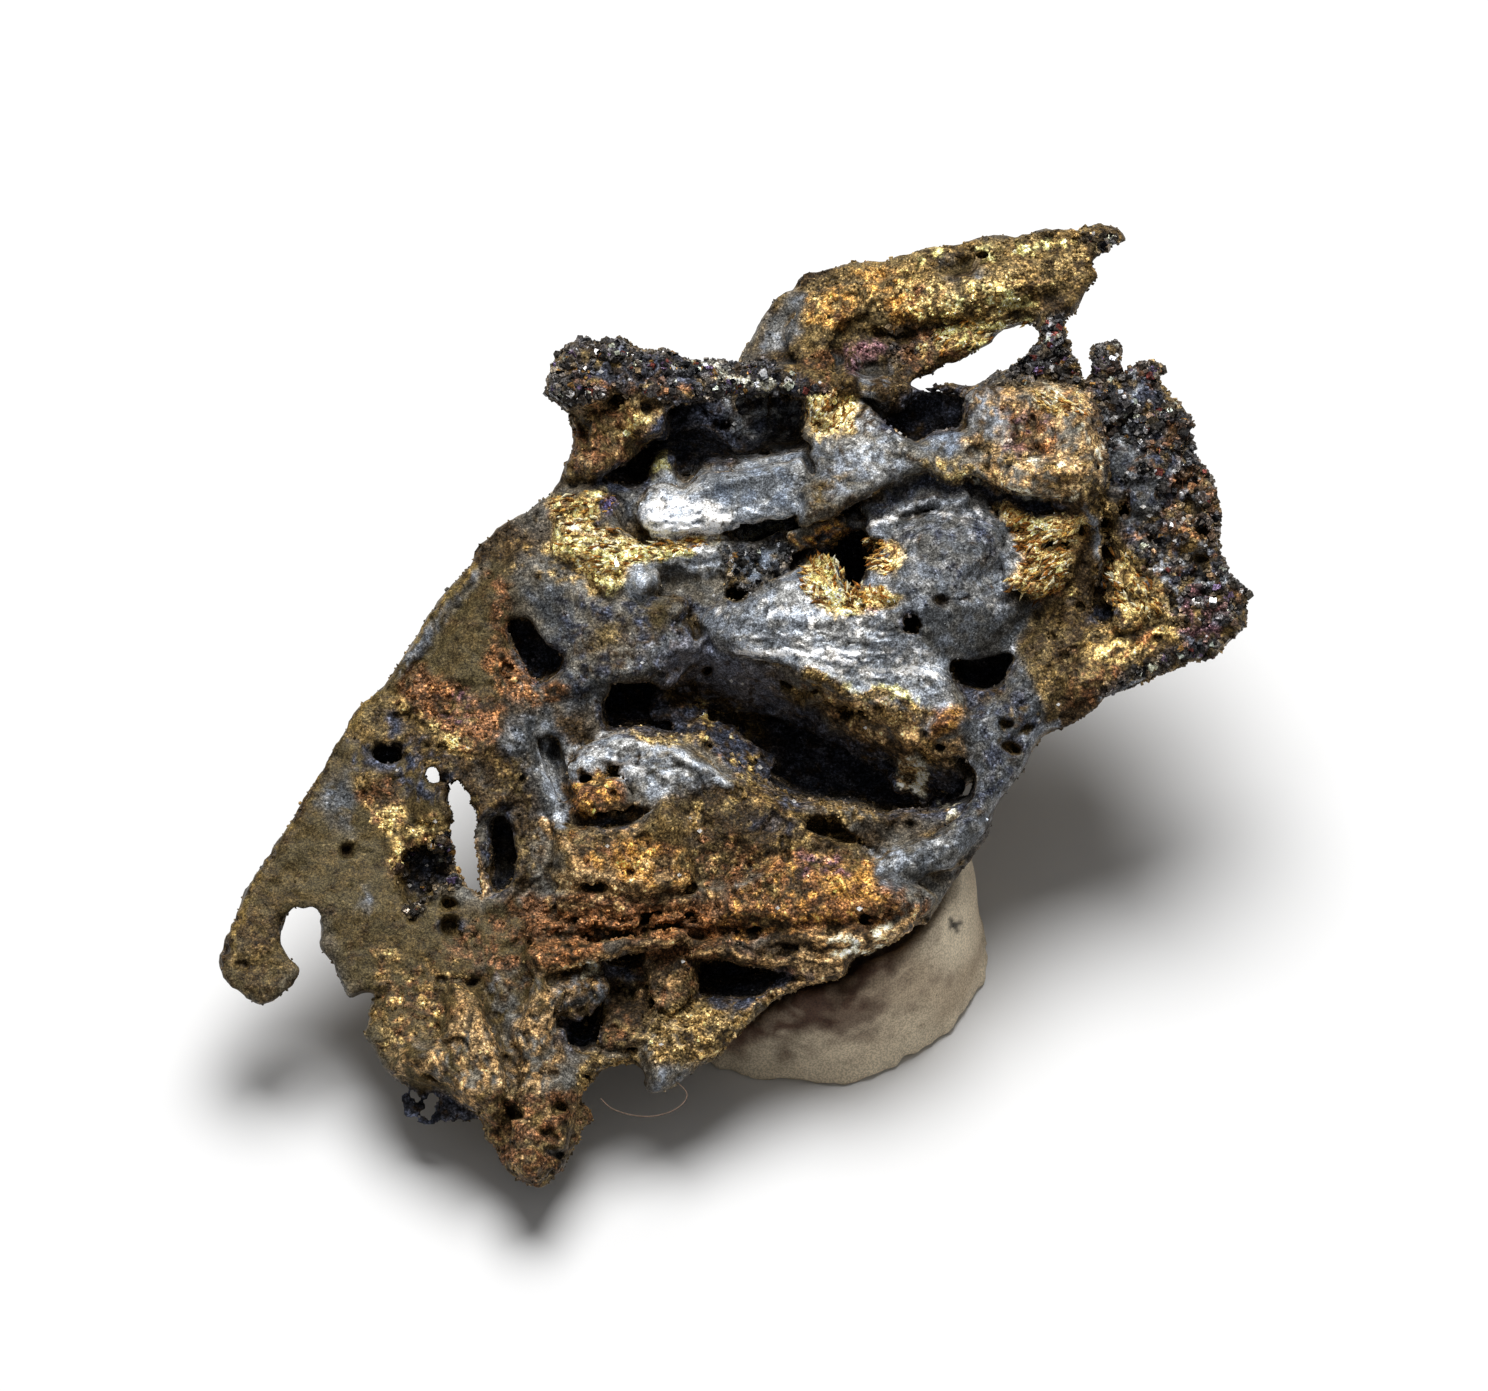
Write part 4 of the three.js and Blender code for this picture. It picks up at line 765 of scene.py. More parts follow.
    ("black", [412, 860, 425, 848, 452, 850, 452, 874, 430, 886, 414, 890], {"ragged": 0.15, "cover": 0.8}),
    ("black", [440, 924, 465, 920, 466, 931, 445, 932], {"ragged": 0.08}),
    ("tan", [464, 800, 478, 806, 477, 836, 482, 870, 490, 896, 476, 896, 462, 866], {"soft": 0.12}),
    ("black", slotHollow, {"soft": 0.15}),
    ("drab", slotHollow, {"cover": 0.4, "soft": 0.15}),
    ("umber", [520, 820, 545, 830, 550, 880, 525, 900], 0.6),
    ("black", [594, 818, 632, 815, 634, 823, 604, 829], {"ragged": 0.06, "soft": 0.1}),
]

# Thin lines of a finish, as a path in picture points and a width in mm
streaks = [
    ("rim", [478, 549, 410, 648, 342, 740, 265, 862, 228, 955], 0.3),
    ("silver", [545, 730, 546, 760, 556, 790, 566, 824], 0.3),
    ("tan", [546, 822, 570, 850, 584, 884], 0.35),
    ("tan", [470, 1000, 486, 1030, 500, 1062, 502, 1084], 0.4),
    ("tan", [536, 966, 570, 969, 600, 956, 640, 941, 690, 938], 0.16),
    ("tan", [690, 955, 720, 948, 760, 956, 800, 962, 836, 965], 0.2),
    ("tan", [800, 936, 830, 941, 858, 937, 890, 926, 915, 907], 0.2),
    ("cream", [826, 942, 846, 938, 856, 944], 0.2),
    ("cream", [872, 930, 886, 922], 0.16),
    ("cream", [836, 958, 852, 950, 868, 954, 882, 944], 0.18),
    ("tan", [752, 1002, 780, 986, 804, 979, 842, 970], 0.12),
    ("white", [868, 655, 928, 651], 0.14),
    ("white", [735, 647, 800, 652, 862, 664], 0.16),
    ("white", [858, 672, 900, 668, 925, 672], 0.14),
    ("oliveGold", [800, 668, 850, 690, 895, 700, 925, 716], 0.35),
    ("white", [868, 523, 900, 515, 935, 500], 0.12),
    ("brightGold", [566, 552, 620, 558, 690, 552], 0.3),
    ("cream", [735, 532, 790, 526], 0.12),
    ("steel", [1084, 505, 1094, 530, 1100, 562, 1104, 590], 0.2),
    ("silver", [570, 752, 600, 736, 650, 745], 0.3),
    ("silver", [655, 742, 700, 762, 724, 780], 0.3),
    ("brightGold", [938, 330, 985, 320, 1036, 318], 0.2),
    ("cream", [960, 478, 1000, 486, 1040, 494, 1074, 495], 0.16),
    ("oliveGold", [1100, 632, 1140, 616, 1165, 612], 0.25),
    ("steel", [1100, 700, 1130, 688, 1165, 668], 0.2),
    ("steel", [1060, 722, 1040, 730, 1024, 766, 998, 800, 985, 832], 0.3),
]

# Painted highlights: a near-white grain at each picture point where a glint is seen
glints = [468, 747, 643, 660, 398, 768, 608, 843, 410, 885, 428, 865, 680, 875, 776, 906, 858, 905, 684, 960, 866, 727,
          733, 680, 742, 683, 575, 362, 610, 352, 628, 378, 752, 380, 658, 398, 888, 430, 902, 428, 1118, 352, 1108, 400,
          1125, 408, 1130, 420, 1175, 470, 1192, 484, 1150, 515, 690, 816, 702, 830, 437, 822, 446, 834, 660, 1042,
          740, 640, 1180, 560, 1210, 600, 1198, 618, 1060, 704, 760, 765, 792, 798,
          1140, 450, 1160, 476, 1184, 520, 1205, 545, 1218, 572, 1196, 600, 1185, 618, 1222, 616, 1206, 636, 1150, 400,
          1135, 372, 1112, 386, 1165, 430, 1144, 505, 1128, 470, 1176, 540, 1050, 340, 1030, 362, 1068, 372, 590, 346,
          600, 370, 622, 342, 640, 360, 660, 384, 700, 366, 716, 398, 560, 380, 585, 392, 790, 372, 820, 382,
          735, 420, 752, 432, 790, 430, 708, 400, 716, 596, 745, 552]


def toLinear(tint):
    c = np.array(tint, dtype=np.float64) / 255
    return np.where(c <= 0.04045, c / 12.92, ((c + 0.055) / 1.055) ** 2.4)


finishRows = {name: np.concatenate([toLinear(tint), [metal, rough, grain, druse, relief]])
              for name, (tint, metal, rough, grain, relief, druse, _, _) in finishes.items()}
paint = {"soft": 0.2, "ragged": 0.3, "speckle": 0.16, "speckleEdge": 0.1, "fleck": 0.15, "strand": (1.1, 0.13)}


def spotLine(order, share):  # the value that this share of the noise lies above
    return order[int((1 - share) * (len(order) - 1))]


def combed(window, turn, seed):  # noise drawn out into strands that run at an angle, in degrees
    c, s = math.cos(math.radians(turn)), math.sin(math.radians(turn))
    x, y = mapX[window[0]], mapY[:, window[1]]
    bend = 0.12 * mapNoise(1.2, seed + 1)[window]
    along, across = x * c + y * s, y * c - x * s + bend
    flat = np.stack([along / paint["strand"][0], across / paint["strand"][1], 0 * along], axis=-1).reshape(-1, 3)
    values = pointNoise(flat, 1, seed) + 0.5 * pointNoise(flat * 2.1, 1, seed + 2)
    return values.reshape(bend.shape)


def paintFinishes():
    # lays the patches over one another and gives tint, metal, rough, grain, druse and relief for each sample
    wander = 0.5 * mapNoise(1.1, 11) + 0.35 * mapNoise(0.45, 12) + 0.3 * mapNoise(0.2, 13)
    fine = 0.7 * mapNoise(paint["speckle"], 14) + 0.5 * mapNoise(2.2 * paint["speckle"], 15)
    finest = 0.8 * mapNoise(paint["fleck"], 18) + 0.5 * mapNoise(2.5 * paint["fleck"], 19) + 0.4 * mapNoise(1.0, 20)
    order, orderFinest = (np.sort(noise.ravel()[::97]) for noise in (fine, finest))

    def spread(name, window, shift):  # the finish with its own flecks in it
        other, share = finishes[name][-2:]
        spots = np.roll(finest, (int(131 * shift), int(77 * shift)), axis=(0, 1))[window]
        line = spotLine(orderFinest, share)
        mask = smoothStep(line - 0.1, line + 0.2, spots)[..., None].astype(np.float32)
        return finishRows[name] + mask * (finishRows[other] - finishRows[name])

    layers = np.tile(finishRows["umber"].astype(np.float32), mapShape + (1,))
    blend = smoothStep(-0.3, 0.4, mapNoise(3.5, 16) + 0.5 * mapNoise(1.2, 17))[..., None]
    layers = layers * (1 - blend) + finishRows["drab"] * blend
    for name, outline, look in patches:
        if not isinstance(look, dict):
            look = {"cover": look}
        distance, window = outlineDistance(outline)
        shift = 0.37 * len(name) + 0.11 * len(outline)       # each patch is speckled in its own way
        soft = look.get("soft", paint["soft"])
        edge = distance + look.get("ragged", paint["ragged"]) * wander[window]
        mask = 1 - smoothStep(-soft, soft, edge)
        cover = look.get("cover", 1)
        if "comb" in look:
            spots = combed(window, look["comb"], 70 + int(9 * shift))
            line = spotLine(np.sort(spots.ravel()), cover)
            mask = mask * smoothStep(line - paint["speckleEdge"], line + paint["speckleEdge"], spots)
        elif cover < 1:
            spots = np.roll(fine, (int(90 * shift), int(57 * shift)), axis=(0, 1))[window]
            line = spotLine(order, cover)
            mask = mask * smoothStep(line - paint["speckleEdge"], line + paint["speckleEdge"], spots)
        layers[window] += mask[..., None].astype(np.float32) * (spread(name, window, shift) - layers[window])
    for name, path, width in streaks:
        distance, window = lineDistance(path)
        edge = distance + 0.6 * width * wander[window]
        mask = 1 - smoothStep(0.3 * width, 0.75 * width, edge)
        layers[window] += mask[..., None].astype(np.float32) * (spread(name, window, width) - layers[window])
    return layers


# Low relief of the face: height in mm above what the solid gives, as paths (ridge, width) and places

ridges = [
    ([530, 722, 524, 745, 536, 772, 552, 802, 562, 830, 576, 872], 0.32, 0.34),
    ([545, 730, 548, 760, 558, 790, 566, 820], 0.18, 0.22),
    ([552, 740, 562, 765, 566, 795], -0.35, 0.3),
    ([490, 808, 502, 806, 518, 822, 526, 850, 522, 880, 507, 902, 490, 906], 0.3, 0.3),
    ([470, 1000, 486, 1030, 500, 1062, 502, 1090], 0.35, 0.4),
    ([478, 985, 500, 1020, 514, 1050, 512, 1080], -0.3, 0.35),
    ([540, 975, 530, 1005, 520, 1045, 510, 1085], 0.3, 0.36),
    ([398, 1062, 420, 1056, 450, 1068, 480, 1092], 0.3, 0.3),
    ([395, 684, 420, 642, 446, 602, 470, 570], 0.22, 0.3),
    ([402, 692, 432, 648, 458, 608], -0.22, 0.2),
    ([400, 704, 430, 720, 458, 745, 478, 752, 500, 738], 0.2, 0.3),
    ([672, 600, 664, 628, 676, 650, 706, 642, 735, 632], 0.22, 0.35),
    ([690, 612, 700, 636, 740, 650, 790, 662], -0.28, 0.25),
    ([735, 645, 790, 662, 850, 690, 900, 704, 935, 742], 0.22, 0.36),
    ([770, 668, 815, 692, 865, 718, 915, 748], -0.2, 0.25),
    ([868, 524, 900, 512, 940, 498, 985, 502], 0.22, 0.3),
    ([880, 603, 930, 600, 975, 595, 1030, 600], -0.3, 0.24),
    ([740, 606, 800, 584, 830, 590], 0.15, 0.35),
    ([560, 552, 620, 560, 690, 553, 730, 545], 0.2, 0.25),
    ([566, 508, 590, 520, 625, 540], -0.2, 0.2),
    ([612, 494, 622, 515, 645, 538], -0.3, 0.25),
    ([797, 462, 815, 480, 806, 510], 0.2, 0.3),
    ([900, 472, 930, 464, 950, 478, 970, 468, 1000, 482, 1040, 492, 1075, 494], 0.2, 0.28),
    ([1010, 455, 1030, 425, 1062, 408, 1092, 412], 0.15, 0.4),
    ([1084, 505, 1096, 532, 1102, 566, 1106, 596], 0.25, 0.28),
    ([1075, 645, 1110, 632, 1140, 616, 1165, 612], 0.22, 0.28),
    ([1066, 660, 1100, 668, 1150, 650], -0.16, 0.35),
    ([1040, 610, 1030, 650, 1015, 700, 985, 770], 0.2, 0.36),
    ([1062, 606, 1050, 650, 1042, 690, 1010, 760], -0.22, 0.3),
    ([600, 738, 650, 740, 700, 762, 726, 782], 0.2, 0.3),
    ([606, 764, 632, 762, 655, 792], -0.28, 0.28),
    ([654, 790, 670, 802, 668, 830], 0.22, 0.26),
    ([690, 955, 720, 948, 760, 956, 800, 962, 836, 965], 0.24, 0.2),
    ([800, 936, 830, 941, 858, 937, 890, 926, 915, 907], 0.16, 0.16),
    ([752, 1002, 780, 986, 804, 979, 842, 970], 0.2, 0.18),
    ([660, 1005, 672, 1030, 668, 1060], 0.2, 0.3),
    ([562, 985, 574, 1022, 558, 1040], 0.25, 0.26),
    ([840, 824, 870, 842, 905, 850, 950, 846], 0.2, 0.3),
    ([815, 806, 850, 812, 886, 818], 0.2, 0.26),
    ([905, 300, 945, 322, 1000, 326, 1040, 318], -0.2, 0.3),
    ([830, 350, 846, 372, 880, 362], -0.25, 0.3),
    ([800, 370, 812, 395, 860, 396], -0.2, 0.3),
    ([440, 765, 470, 790, 486, 812], 0.2, 0.3),
]

# Knobs and small holes: x, y, radius in mm, and height in mm (below zero for a hole)
knobs = [
    575, 360, 0.55, 0.3, 610, 352, 0.5, 0.3, 640, 368, 0.42, 0.25, 662, 362, 0.45, 0.3, 752, 392, 0.4, 0.26,
    565, 388, 0.42, 0.25, 600, 460, 0.6, 0.35, 628, 410, 0.5, 0.3, 650, 428, 0.45, 0.3, 588, 425, 0.42, 0.3,
    590, 542, 0.5, 0.2, 604, 500, 0.45, 0.15, 610, 582, 0.5, 0.25, 641, 578, 0.6, 0.3, 946, 722, 0.6, 0.25,
    906, 308, 0.55, 0.3, 852, 352, 0.45, 0.2, 850, 374, 0.45, 0.3, 600, 792, 0.7, -0.1, 956, 750, 0.4, 0.35,
    530, 1160, 0.6, 0.4, 370, 780, 0.5, 0.25, 415, 832, 0.5, 0.2, 822, 418, 0.5, 0.25, 882, 390, 0.5, 0.25,
    845, 882, 0.6, 0.3, 890, 890, 0.5, 0.25, 770, 885, 0.5, 0.25, 1138, 585, 0.5, 0.25, 705, 672, 0.32, -0.7,
    738, 592, 0.4, -0.7, 955, 664, 0.3, -0.6, 1005, 722, 0.3, -0.7, 1010, 745, 0.3, -0.6, 1120, 505, 0.3, -0.6,
    1155, 540, 0.3, -0.5, 1188, 506, 0.5, -0.6, 1200, 560, 0.3, -0.5, 345, 848, 0.26, -0.5, 452, 926, 0.4, -0.7,
    450, 904, 0.35, -0.6, 470, 985, 0.25, -0.5, 960, 275, 0.8, -0.25, 774, 828, 0.6, -0.35, 520, 1112, 0.3, -0.5,
    548, 1128, 0.3, -0.5, 560, 1104, 0.26, -0.5, 556, 1150, 0.26, -0.4, 1150, 420, 0.4, 0.3, 1175, 440, 0.4, 0.3,
    1130, 395, 0.36, 0.25, 1200, 520, 0.4, 0.3, 1215, 600, 0.45, 0.3, 1190, 620, 0.4, 0.3, 748, 556, 0.4, 0.3,
    600, 990, 0.5, 0.3, 578, 992, 0.4, 0.25, 1044, 706, 0.36, 0.2, 902, 448, 0.4, 0.2, 1020, 440, 0.45, -0.2,
]

# Fine parallel grooves: outline, direction of the grooves in degrees, how far apart and how deep, mm
grooves = [
    ([636, 508, 800, 500, 790, 527, 645, 540], 4, 0.22, 0.07),
    ([556, 540, 735, 535, 730, 568, 640, 580, 570, 560], 7, 0.26, 0.08),
    ([735, 625, 940, 620, 950, 655, 900, 690, 830, 688, 760, 655], -3, 0.3, 0.07),
    ([735, 600, 880, 590, 1020, 565, 1034, 592, 880, 606, 740, 622], 9, 0.3, 0.05),
    ([1004, 505, 1045, 522, 1080, 516, 1060, 590, 1008, 586], 28, 0.26, 0.12),
    ([1020, 650, 1064, 600, 1090, 615, 1066, 700, 1000, 790, 975, 780], 60, 0.4, 0.08),
    ([560, 740, 600, 738, 700, 760, 726, 782, 640, 770], -18, 0.3, 0.06),
    ([500, 735, 545, 720, 566, 830, 530, 860], -70, 0.36, 0.07),
    ([440, 980, 560, 985, 560, 1080, 500, 1120, 400, 1060], -68, 0.45, 0.06),
    ([785, 664, 850, 692, 935, 742, 900, 744, 830, 706], -32, 0.24, 0.06),
    ([690, 940, 900, 928, 840, 970, 700, 972], 2, 0.3, 0.08),
    ([524, 896, 720, 893, 722, 930, 530, 936], 3, 0.3, 0.06),
    ([1070, 640, 1160, 615, 1170, 645, 1070, 700], 24, 0.34, 0.06),
]


def layRelief():
    wander = 0.6 * mapNoise(1.3, 21) + 0.4 * mapNoise(0.5, 22)
    fade = 0.75 + 0.45 * mapNoise(0.8, 23)
    height = np.zeros(mapShape, dtype=np.float32)
    for path, rise, width in ridges:
        distance, window = lineDistance(path)
        edge = distance + 0.35 * width * wander[window]
        height[window] += rise * fade[window] * np.exp(-(edge / width) ** 2)
    for x, y, radius, rise in np.array(knobs).reshape(-1, 4):
        distance, window = lineDistance([x, y, x + 1, y])
        edge = distance + 0.25 * radius * wander[window]
        height[window] += rise * (1 - smoothStep(0.35 * radius, 1.15 * radius, edge))
    for outline, turn, apart, deep in grooves:
        distance, window = outlineDistance(outline)
        c, s = math.cos(math.radians(turn)), math.sin(math.radians(turn))
        across = -s * mapX[window[0]] + c * mapY[:, window[1]] + 0.35 * wander[window]
        wave = np.sin(across * 2 * math.pi / apart) + 0.6 * np.sin(across * 2 * math.pi / (2.7 * apart) + 1)
        height[window] += deep * wave * fade[window] * (1 - smoothStep(-0.4, 0.2, distance))
    return height


def wavered(sheet):  # the sheet with its lines made to waver, as nothing here is smooth-edged
    steps = []
    for seed in (61, 62):
        steps.append((0.2 * mapNoise(0.9, seed) + 0.12 * mapNoise(0.35, seed + 4)) / faceMap["spacing"])
    i, j = np.meshgrid(np.arange(mapShape[0]), np.arange(mapShape[1]), indexing="ij")
    i = np.clip(np.rint(i + steps[0]).astype(int), 0, mapShape[0] - 1)
    j = np.clip(np.rint(j + steps[1]).astype(int), 0, mapShape[1] - 1)
    return sheet[i, j]


print("laying out the face")
faceFinish = wavered(paintFinishes())
faceRelief = wavered(layRelief())


# Pyrite crust

crust = {
    "node": "pyrite_crust",
    "spacing": 0.1,           # mm between samples of the face; the back is made on every second one
    "measured": 3,
    "margin": 0.8,
    "reach": 0.9,
    "split": -2.0,            # the level that parts the face from the back, mm
    "overlap": 2,             # samples by which neighbouring pieces run into each other
    "crumb": 150,             # parts with fewer points than this are dropped
    "triangles": {"faceLeft": 190000, "faceRight": 190000, "back": 100000},
    "roll": (2.4, 0.1),       # size and height of its unevenness, mm, from coarse to fine
    "lump": (0.95, 0.14),
    "crinkle": (0.55, 0.2),
    "bead": (0.24, 0.09),
    "hole": (0.62, 0.42),
    "holeShare": (0.5, 0.72),
    "kept": 0.26,             # what lies deeper than this in the solid isn't eaten away, mm
    "backGrain": 0.7,
    "frontBand": (1.7, 0.8),  # how far below the face its colours and relief fade out, mm
    "stray": 0.7,             # how far the colours of steep walls are mixed up, so that they don't run in streaks, mm
    "crowding": 1.3,          # how far the shading of hollows looks round, mm
}
softRelief = boxBlur(faceFinish[..., 7], 2)

# Places where one sees right through, as outlines in picture points
trims = [
    [449, 784, 456, 780, 463, 784, 468, 790, 471, 798, 477, 806, 479, 822, 476, 836, 478, 855, 481, 874, 486, 894,
     478, 892, 468, 884, 460, 868, 454, 852, 450, 836, 452, 820, 450, 808, 446, 798],
    [428, 768, 435, 766, 440, 772, 438, 780, 431, 781, 427, 775],
    [1140, 239, 1126, 238, 1112, 241, 1103, 248, 1097, 255, 1096, 262, 1101, 274, 1092, 284, 1086, 292, 1080, 303, 1069, 317,
     1080, 328, 1112, 310, 1140, 280],
    [903, 383, 925, 373, 966, 355, 1000, 336, 1008, 364, 955, 379, 920, 386],
    [1206, 462, 1217, 480, 1222, 500, 1219, 526, 1240, 530, 1244, 480],
    [1168, 384, 1188, 408, 1192, 424, 1192, 442, 1206, 440, 1204, 396, 1180, 380],
    [288, 912, 300, 906, 312, 906, 319, 908, 322, 916, 321, 926, 324, 936, 318, 946, 310, 955, 302, 948, 294, 945,
     286, 945, 281, 938, 282, 926],
]


def trimMap():
    rag = 0.1 * mapNoise(0.5, 27) + 0.06 * mapNoise(0.2, 28)
    sheet = np.full(mapShape, farAway, dtype=np.float32)
    for outline in trims:
        distance, window = outlineDistance(outline)
        sheet[window] = np.minimum(sheet[window], distance + rag[window])
    return sheet


trimSheet = trimMap()


# Sheets and flakes that stand in the caves: an upper and a lower edge, each as x, y in picture points and
# level in mm, and how thick it is in mm
flaps = [
    # behind the upper cave, where the wall is thin
    ([680, 374, -3.7, 830, 376, -3.7], [680, 412, -4.3, 830, 414, -4.3], 0.8),
    ([1078, 590, -2.0, 1118, 592, -2.0], [1078, 634, -2.0, 1118, 634, -2.0], 0.7),
    # the roof of the big cave and the band that runs under the plate
    ([668, 652, 0.6, 700, 642, 0.6, 740, 656, 0.9, 790, 672, 1.5, 835, 692, 1.6, 870, 710, 1.5, 915, 736, 1.2,
      950, 752, 0.8],
     [662, 694, -2.4, 695, 700, -3.0, 740, 708, -3.0, 790, 712, -2.4, 830, 732, -1.6, 870, 752, -1.5, 915, 772, -1.6,
      955, 786, -1.6], 0.6),
    # golden leaves down its left wall
    ([660, 696, -1.6, 684, 698, -1.9], [658, 712, -0.9, 678, 716, -1.0], 0.5),
    ([680, 708, -1.6, 706, 714, -1.9], [682, 726, -0.8, 700, 730, -0.9], 0.5),
    ([702, 724, -1.5, 728, 730, -1.8], [702, 740, -0.7, 722, 746, -0.8], 0.5),
    ([722, 738, -1.4, 748, 744, -1.7], [726, 756, -0.6, 742, 760, -0.7], 0.5),
    ([744, 750, -1.2, 768, 758, -1.6], [746, 770, -0.4, 762, 776, -0.6], 0.5),
    # flakes on its floor
    ([892, 768, -2.4, 908, 756, -2.2, 930, 768, -2.4], [898, 786, -1.4, 912, 782, -1.2, 926, 796, -1.3], 0.5),
    ([934, 802, -2.0, 948, 804, -2.0], [938, 820, -1.5, 950, 820, -1.5], 0.4),
    # a shelf below its left end
    ([606, 716, -3.0, 640, 708, -3.4, 668, 722, -3.0], [610, 736, -1.6, 640, 734, -1.8, 664, 738, -1.4], 0.5),
    # lumps in the pit below the thin sheets
    ([552, 976, 1.3, 580, 968, 1.4, 604, 980, 1.0], [562, 1000, 1.4, 584, 1010, 1.3, 600, 998, 1.1], 0.5),
    ([650, 966, 0.9, 672, 958, 1.2, 692, 968, 0.8], [654, 988, 1.1, 674, 1004, 1.4, 686, 990, 1.0], 0.45),
    ([608, 992, -0.3, 642, 994, -0.1], [612, 1040, 0.8, 636, 1036, 1.0], 0.7),
    # a dark lump in the hollow under the shelf
    ([730, 548, 0.8, 762, 544, 0.6, 788, 540, 0.5], [734, 586, 1.3, 760, 578, 1.2, 782, 568, 1.0], 0.7),
    # what lies in the long crevice, and its bronze lip
    ([866, 500, 1.5, 888, 486, 1.6, 915, 479, 1.6, 958, 482, 1.6], [872, 520, 1.4, 895, 509, 1.5, 920, 503, 1.6, 960, 498, 1.7], 0.5),
    ([790, 536, 1.3, 806, 527, 1.6, 840, 520, 1.8], [796, 548, 0.9, 815, 542, 1.2, 838, 532, 1.4], 0.45),
    # the lower half of the silver ring
    ([630, 770, 2.0, 660, 772, 2.1, 692, 778, 2.1], [636, 798, 1.5, 664, 804, 1.6, 694, 806, 1.7], 0.6),
    ([1062, 497, 2.3, 1092, 495, 2.5], [1062, 516, 1.7, 1092, 516, 1.6], 0.6),
    # the cushion under the tuft on the right
    ([1006, 510, 1.8, 1024, 521, 2.0, 1046, 525, 2.1, 1068, 520, 2.1], [1010, 584, 1.9, 1030, 588, 1.8, 1048, 583, 1.8, 1064, 560, 1.9], 0.6),
    # the slope under the brown ledge
    ([560, 892, 1.7, 600, 893, 1.8, 650, 893, 1.8, 712, 894, 1.5], [560, 914, 1.1, 600, 916, 1.4, 650, 918, 1.6, 715, 918, 1.3], 0.5),
    # stubs in the upper cave and beside the slot
    ([672, 440, -2.6, 700, 430, -3.0, 724, 446, -2.8], [670, 468, -1.0, 700, 462, -1.4, 720, 466, -1.2], 0.5),
    ([740, 396, -1.6, 764, 396, -1.6], [742, 408, -1.2, 762, 410, -1.2], 0.4),
]
flapStep = 0.12       # mm between the points that a sheet is laid with
flapReach = 6         # samples round each of them


def layFlaps(block, field):  # joins the sheets to the solid
    steps = np.arange(-flapReach, flapReach + 1)
    around = np.stack(np.meshgrid(steps, steps, steps, indexing="ij"), axis=-1).reshape(-1, 3)
    for upper, lower, thick in flaps:
        sides = []
        for edge in (upper, lower):
            edge = np.array(edge, dtype=np.float64).reshape(-1, 3)
            edge[:, :2] = toMm(edge[:, :2])
            length = np.concatenate([[0], np.cumsum(np.linalg.norm(np.diff(edge, axis=0), axis=1))])
            sides.append((edge, length))
        count = int(max(length[-1] for _, length in sides) / flapStep) + 2
        rows = [np.stack([np.interp(np.linspace(0, length[-1], count), length, edge[:, k]) for k in range(3)], axis=1)
                for edge, length in sides]
        wide = np.linalg.norm(rows[1] - rows[0], axis=1).max()
        share = np.linspace(0, 1, int(wide / flapStep) + 2)[:, None, None]
        points = (rows[0] * (1 - share) + rows[1] * share).reshape(-1, 3)
        points += 0.16 * np.stack([pointNoise(points, 0.7, seed) for seed in (24, 25, 26)], axis=1)
        cells = np.rint(block.indices(points)).astype(int)[:, None, :] + around
        cells = np.clip(cells, 0, np.array(block.shape) - 1)
        away = np.linalg.norm(block.places(cells) - points[:, None, :], axis=2) - thick / 2
        np.minimum.at(field, tuple(cells.reshape(-1, 3).T), away.ravel().astype(np.float32))


def columnMap(block, sheet):  # a map of the face on the columns of a block
    xs, ys, _ = block.axes()
    grid = np.stack(np.meshgrid(xs, ys, indexing="ij"), axis=-1).reshape(-1, 2)
    return sampleAt(sheet, mapIndices(grid)).reshape(len(xs), len(ys)).astype(np.float32)


def topLevels(block, field):  # the highest solid sample of each column, and whether there is one
    solid = field < 0
    levels = block.axes()[2]
    last = solid.shape[2] - 1 - np.argmax(solid[:, :, ::-1], axis=2)
    found = solid.any(axis=2)
    return np.where(found, levels[last], -1.0).astype(np.float32), found


def roughened(block, field, tops):
    # the field with the crust's unevenness and relief on it, and how far its fine part stands out, mm
    axes = block.axes()
    low, high = crust["frontBand"]
    front = smoothStep(-low, -high, axes[2].astype(np.float32)[None, None, :] - tops[:, :, None])
    grain = columnMap(block, softRelief)[:, :, None]
    grain = grain * front + crust["backGrain"] * (1 - front)
    size, rise = crust["roll"]
    broad = (0.4 + 0.6 * grain) * rise * placedNoise(axes, size, 31)
    size, rise = crust["lump"]
    broad += grain * rise * placedNoise(axes, size, 32)
    size, rise = crust["crinkle"]
    fine = (0.15 + 0.85 * grain) * rise * (0.4 - np.abs(placedNoise(axes, size, 33) + 0.35 * placedNoise(axes, size / 2, 34)))
    size, rise = crust["bead"]
    fine += (0.25 + 0.75 * grain) * rise * placedNoise(axes, size, 35)
    size, rise = crust["hole"]
    fine -= grain * rise * smoothStep(*crust["holeShare"], placedNoise(axes, size, 36))
    uneven = np.minimum(field - broad - fine, field + crust["kept"])
    uneven -= columnMap(block, faceRelief)[:, :, None] * front
    return np.maximum(uneven, -columnMap(block, trimSheet)[:, :, None]), fine


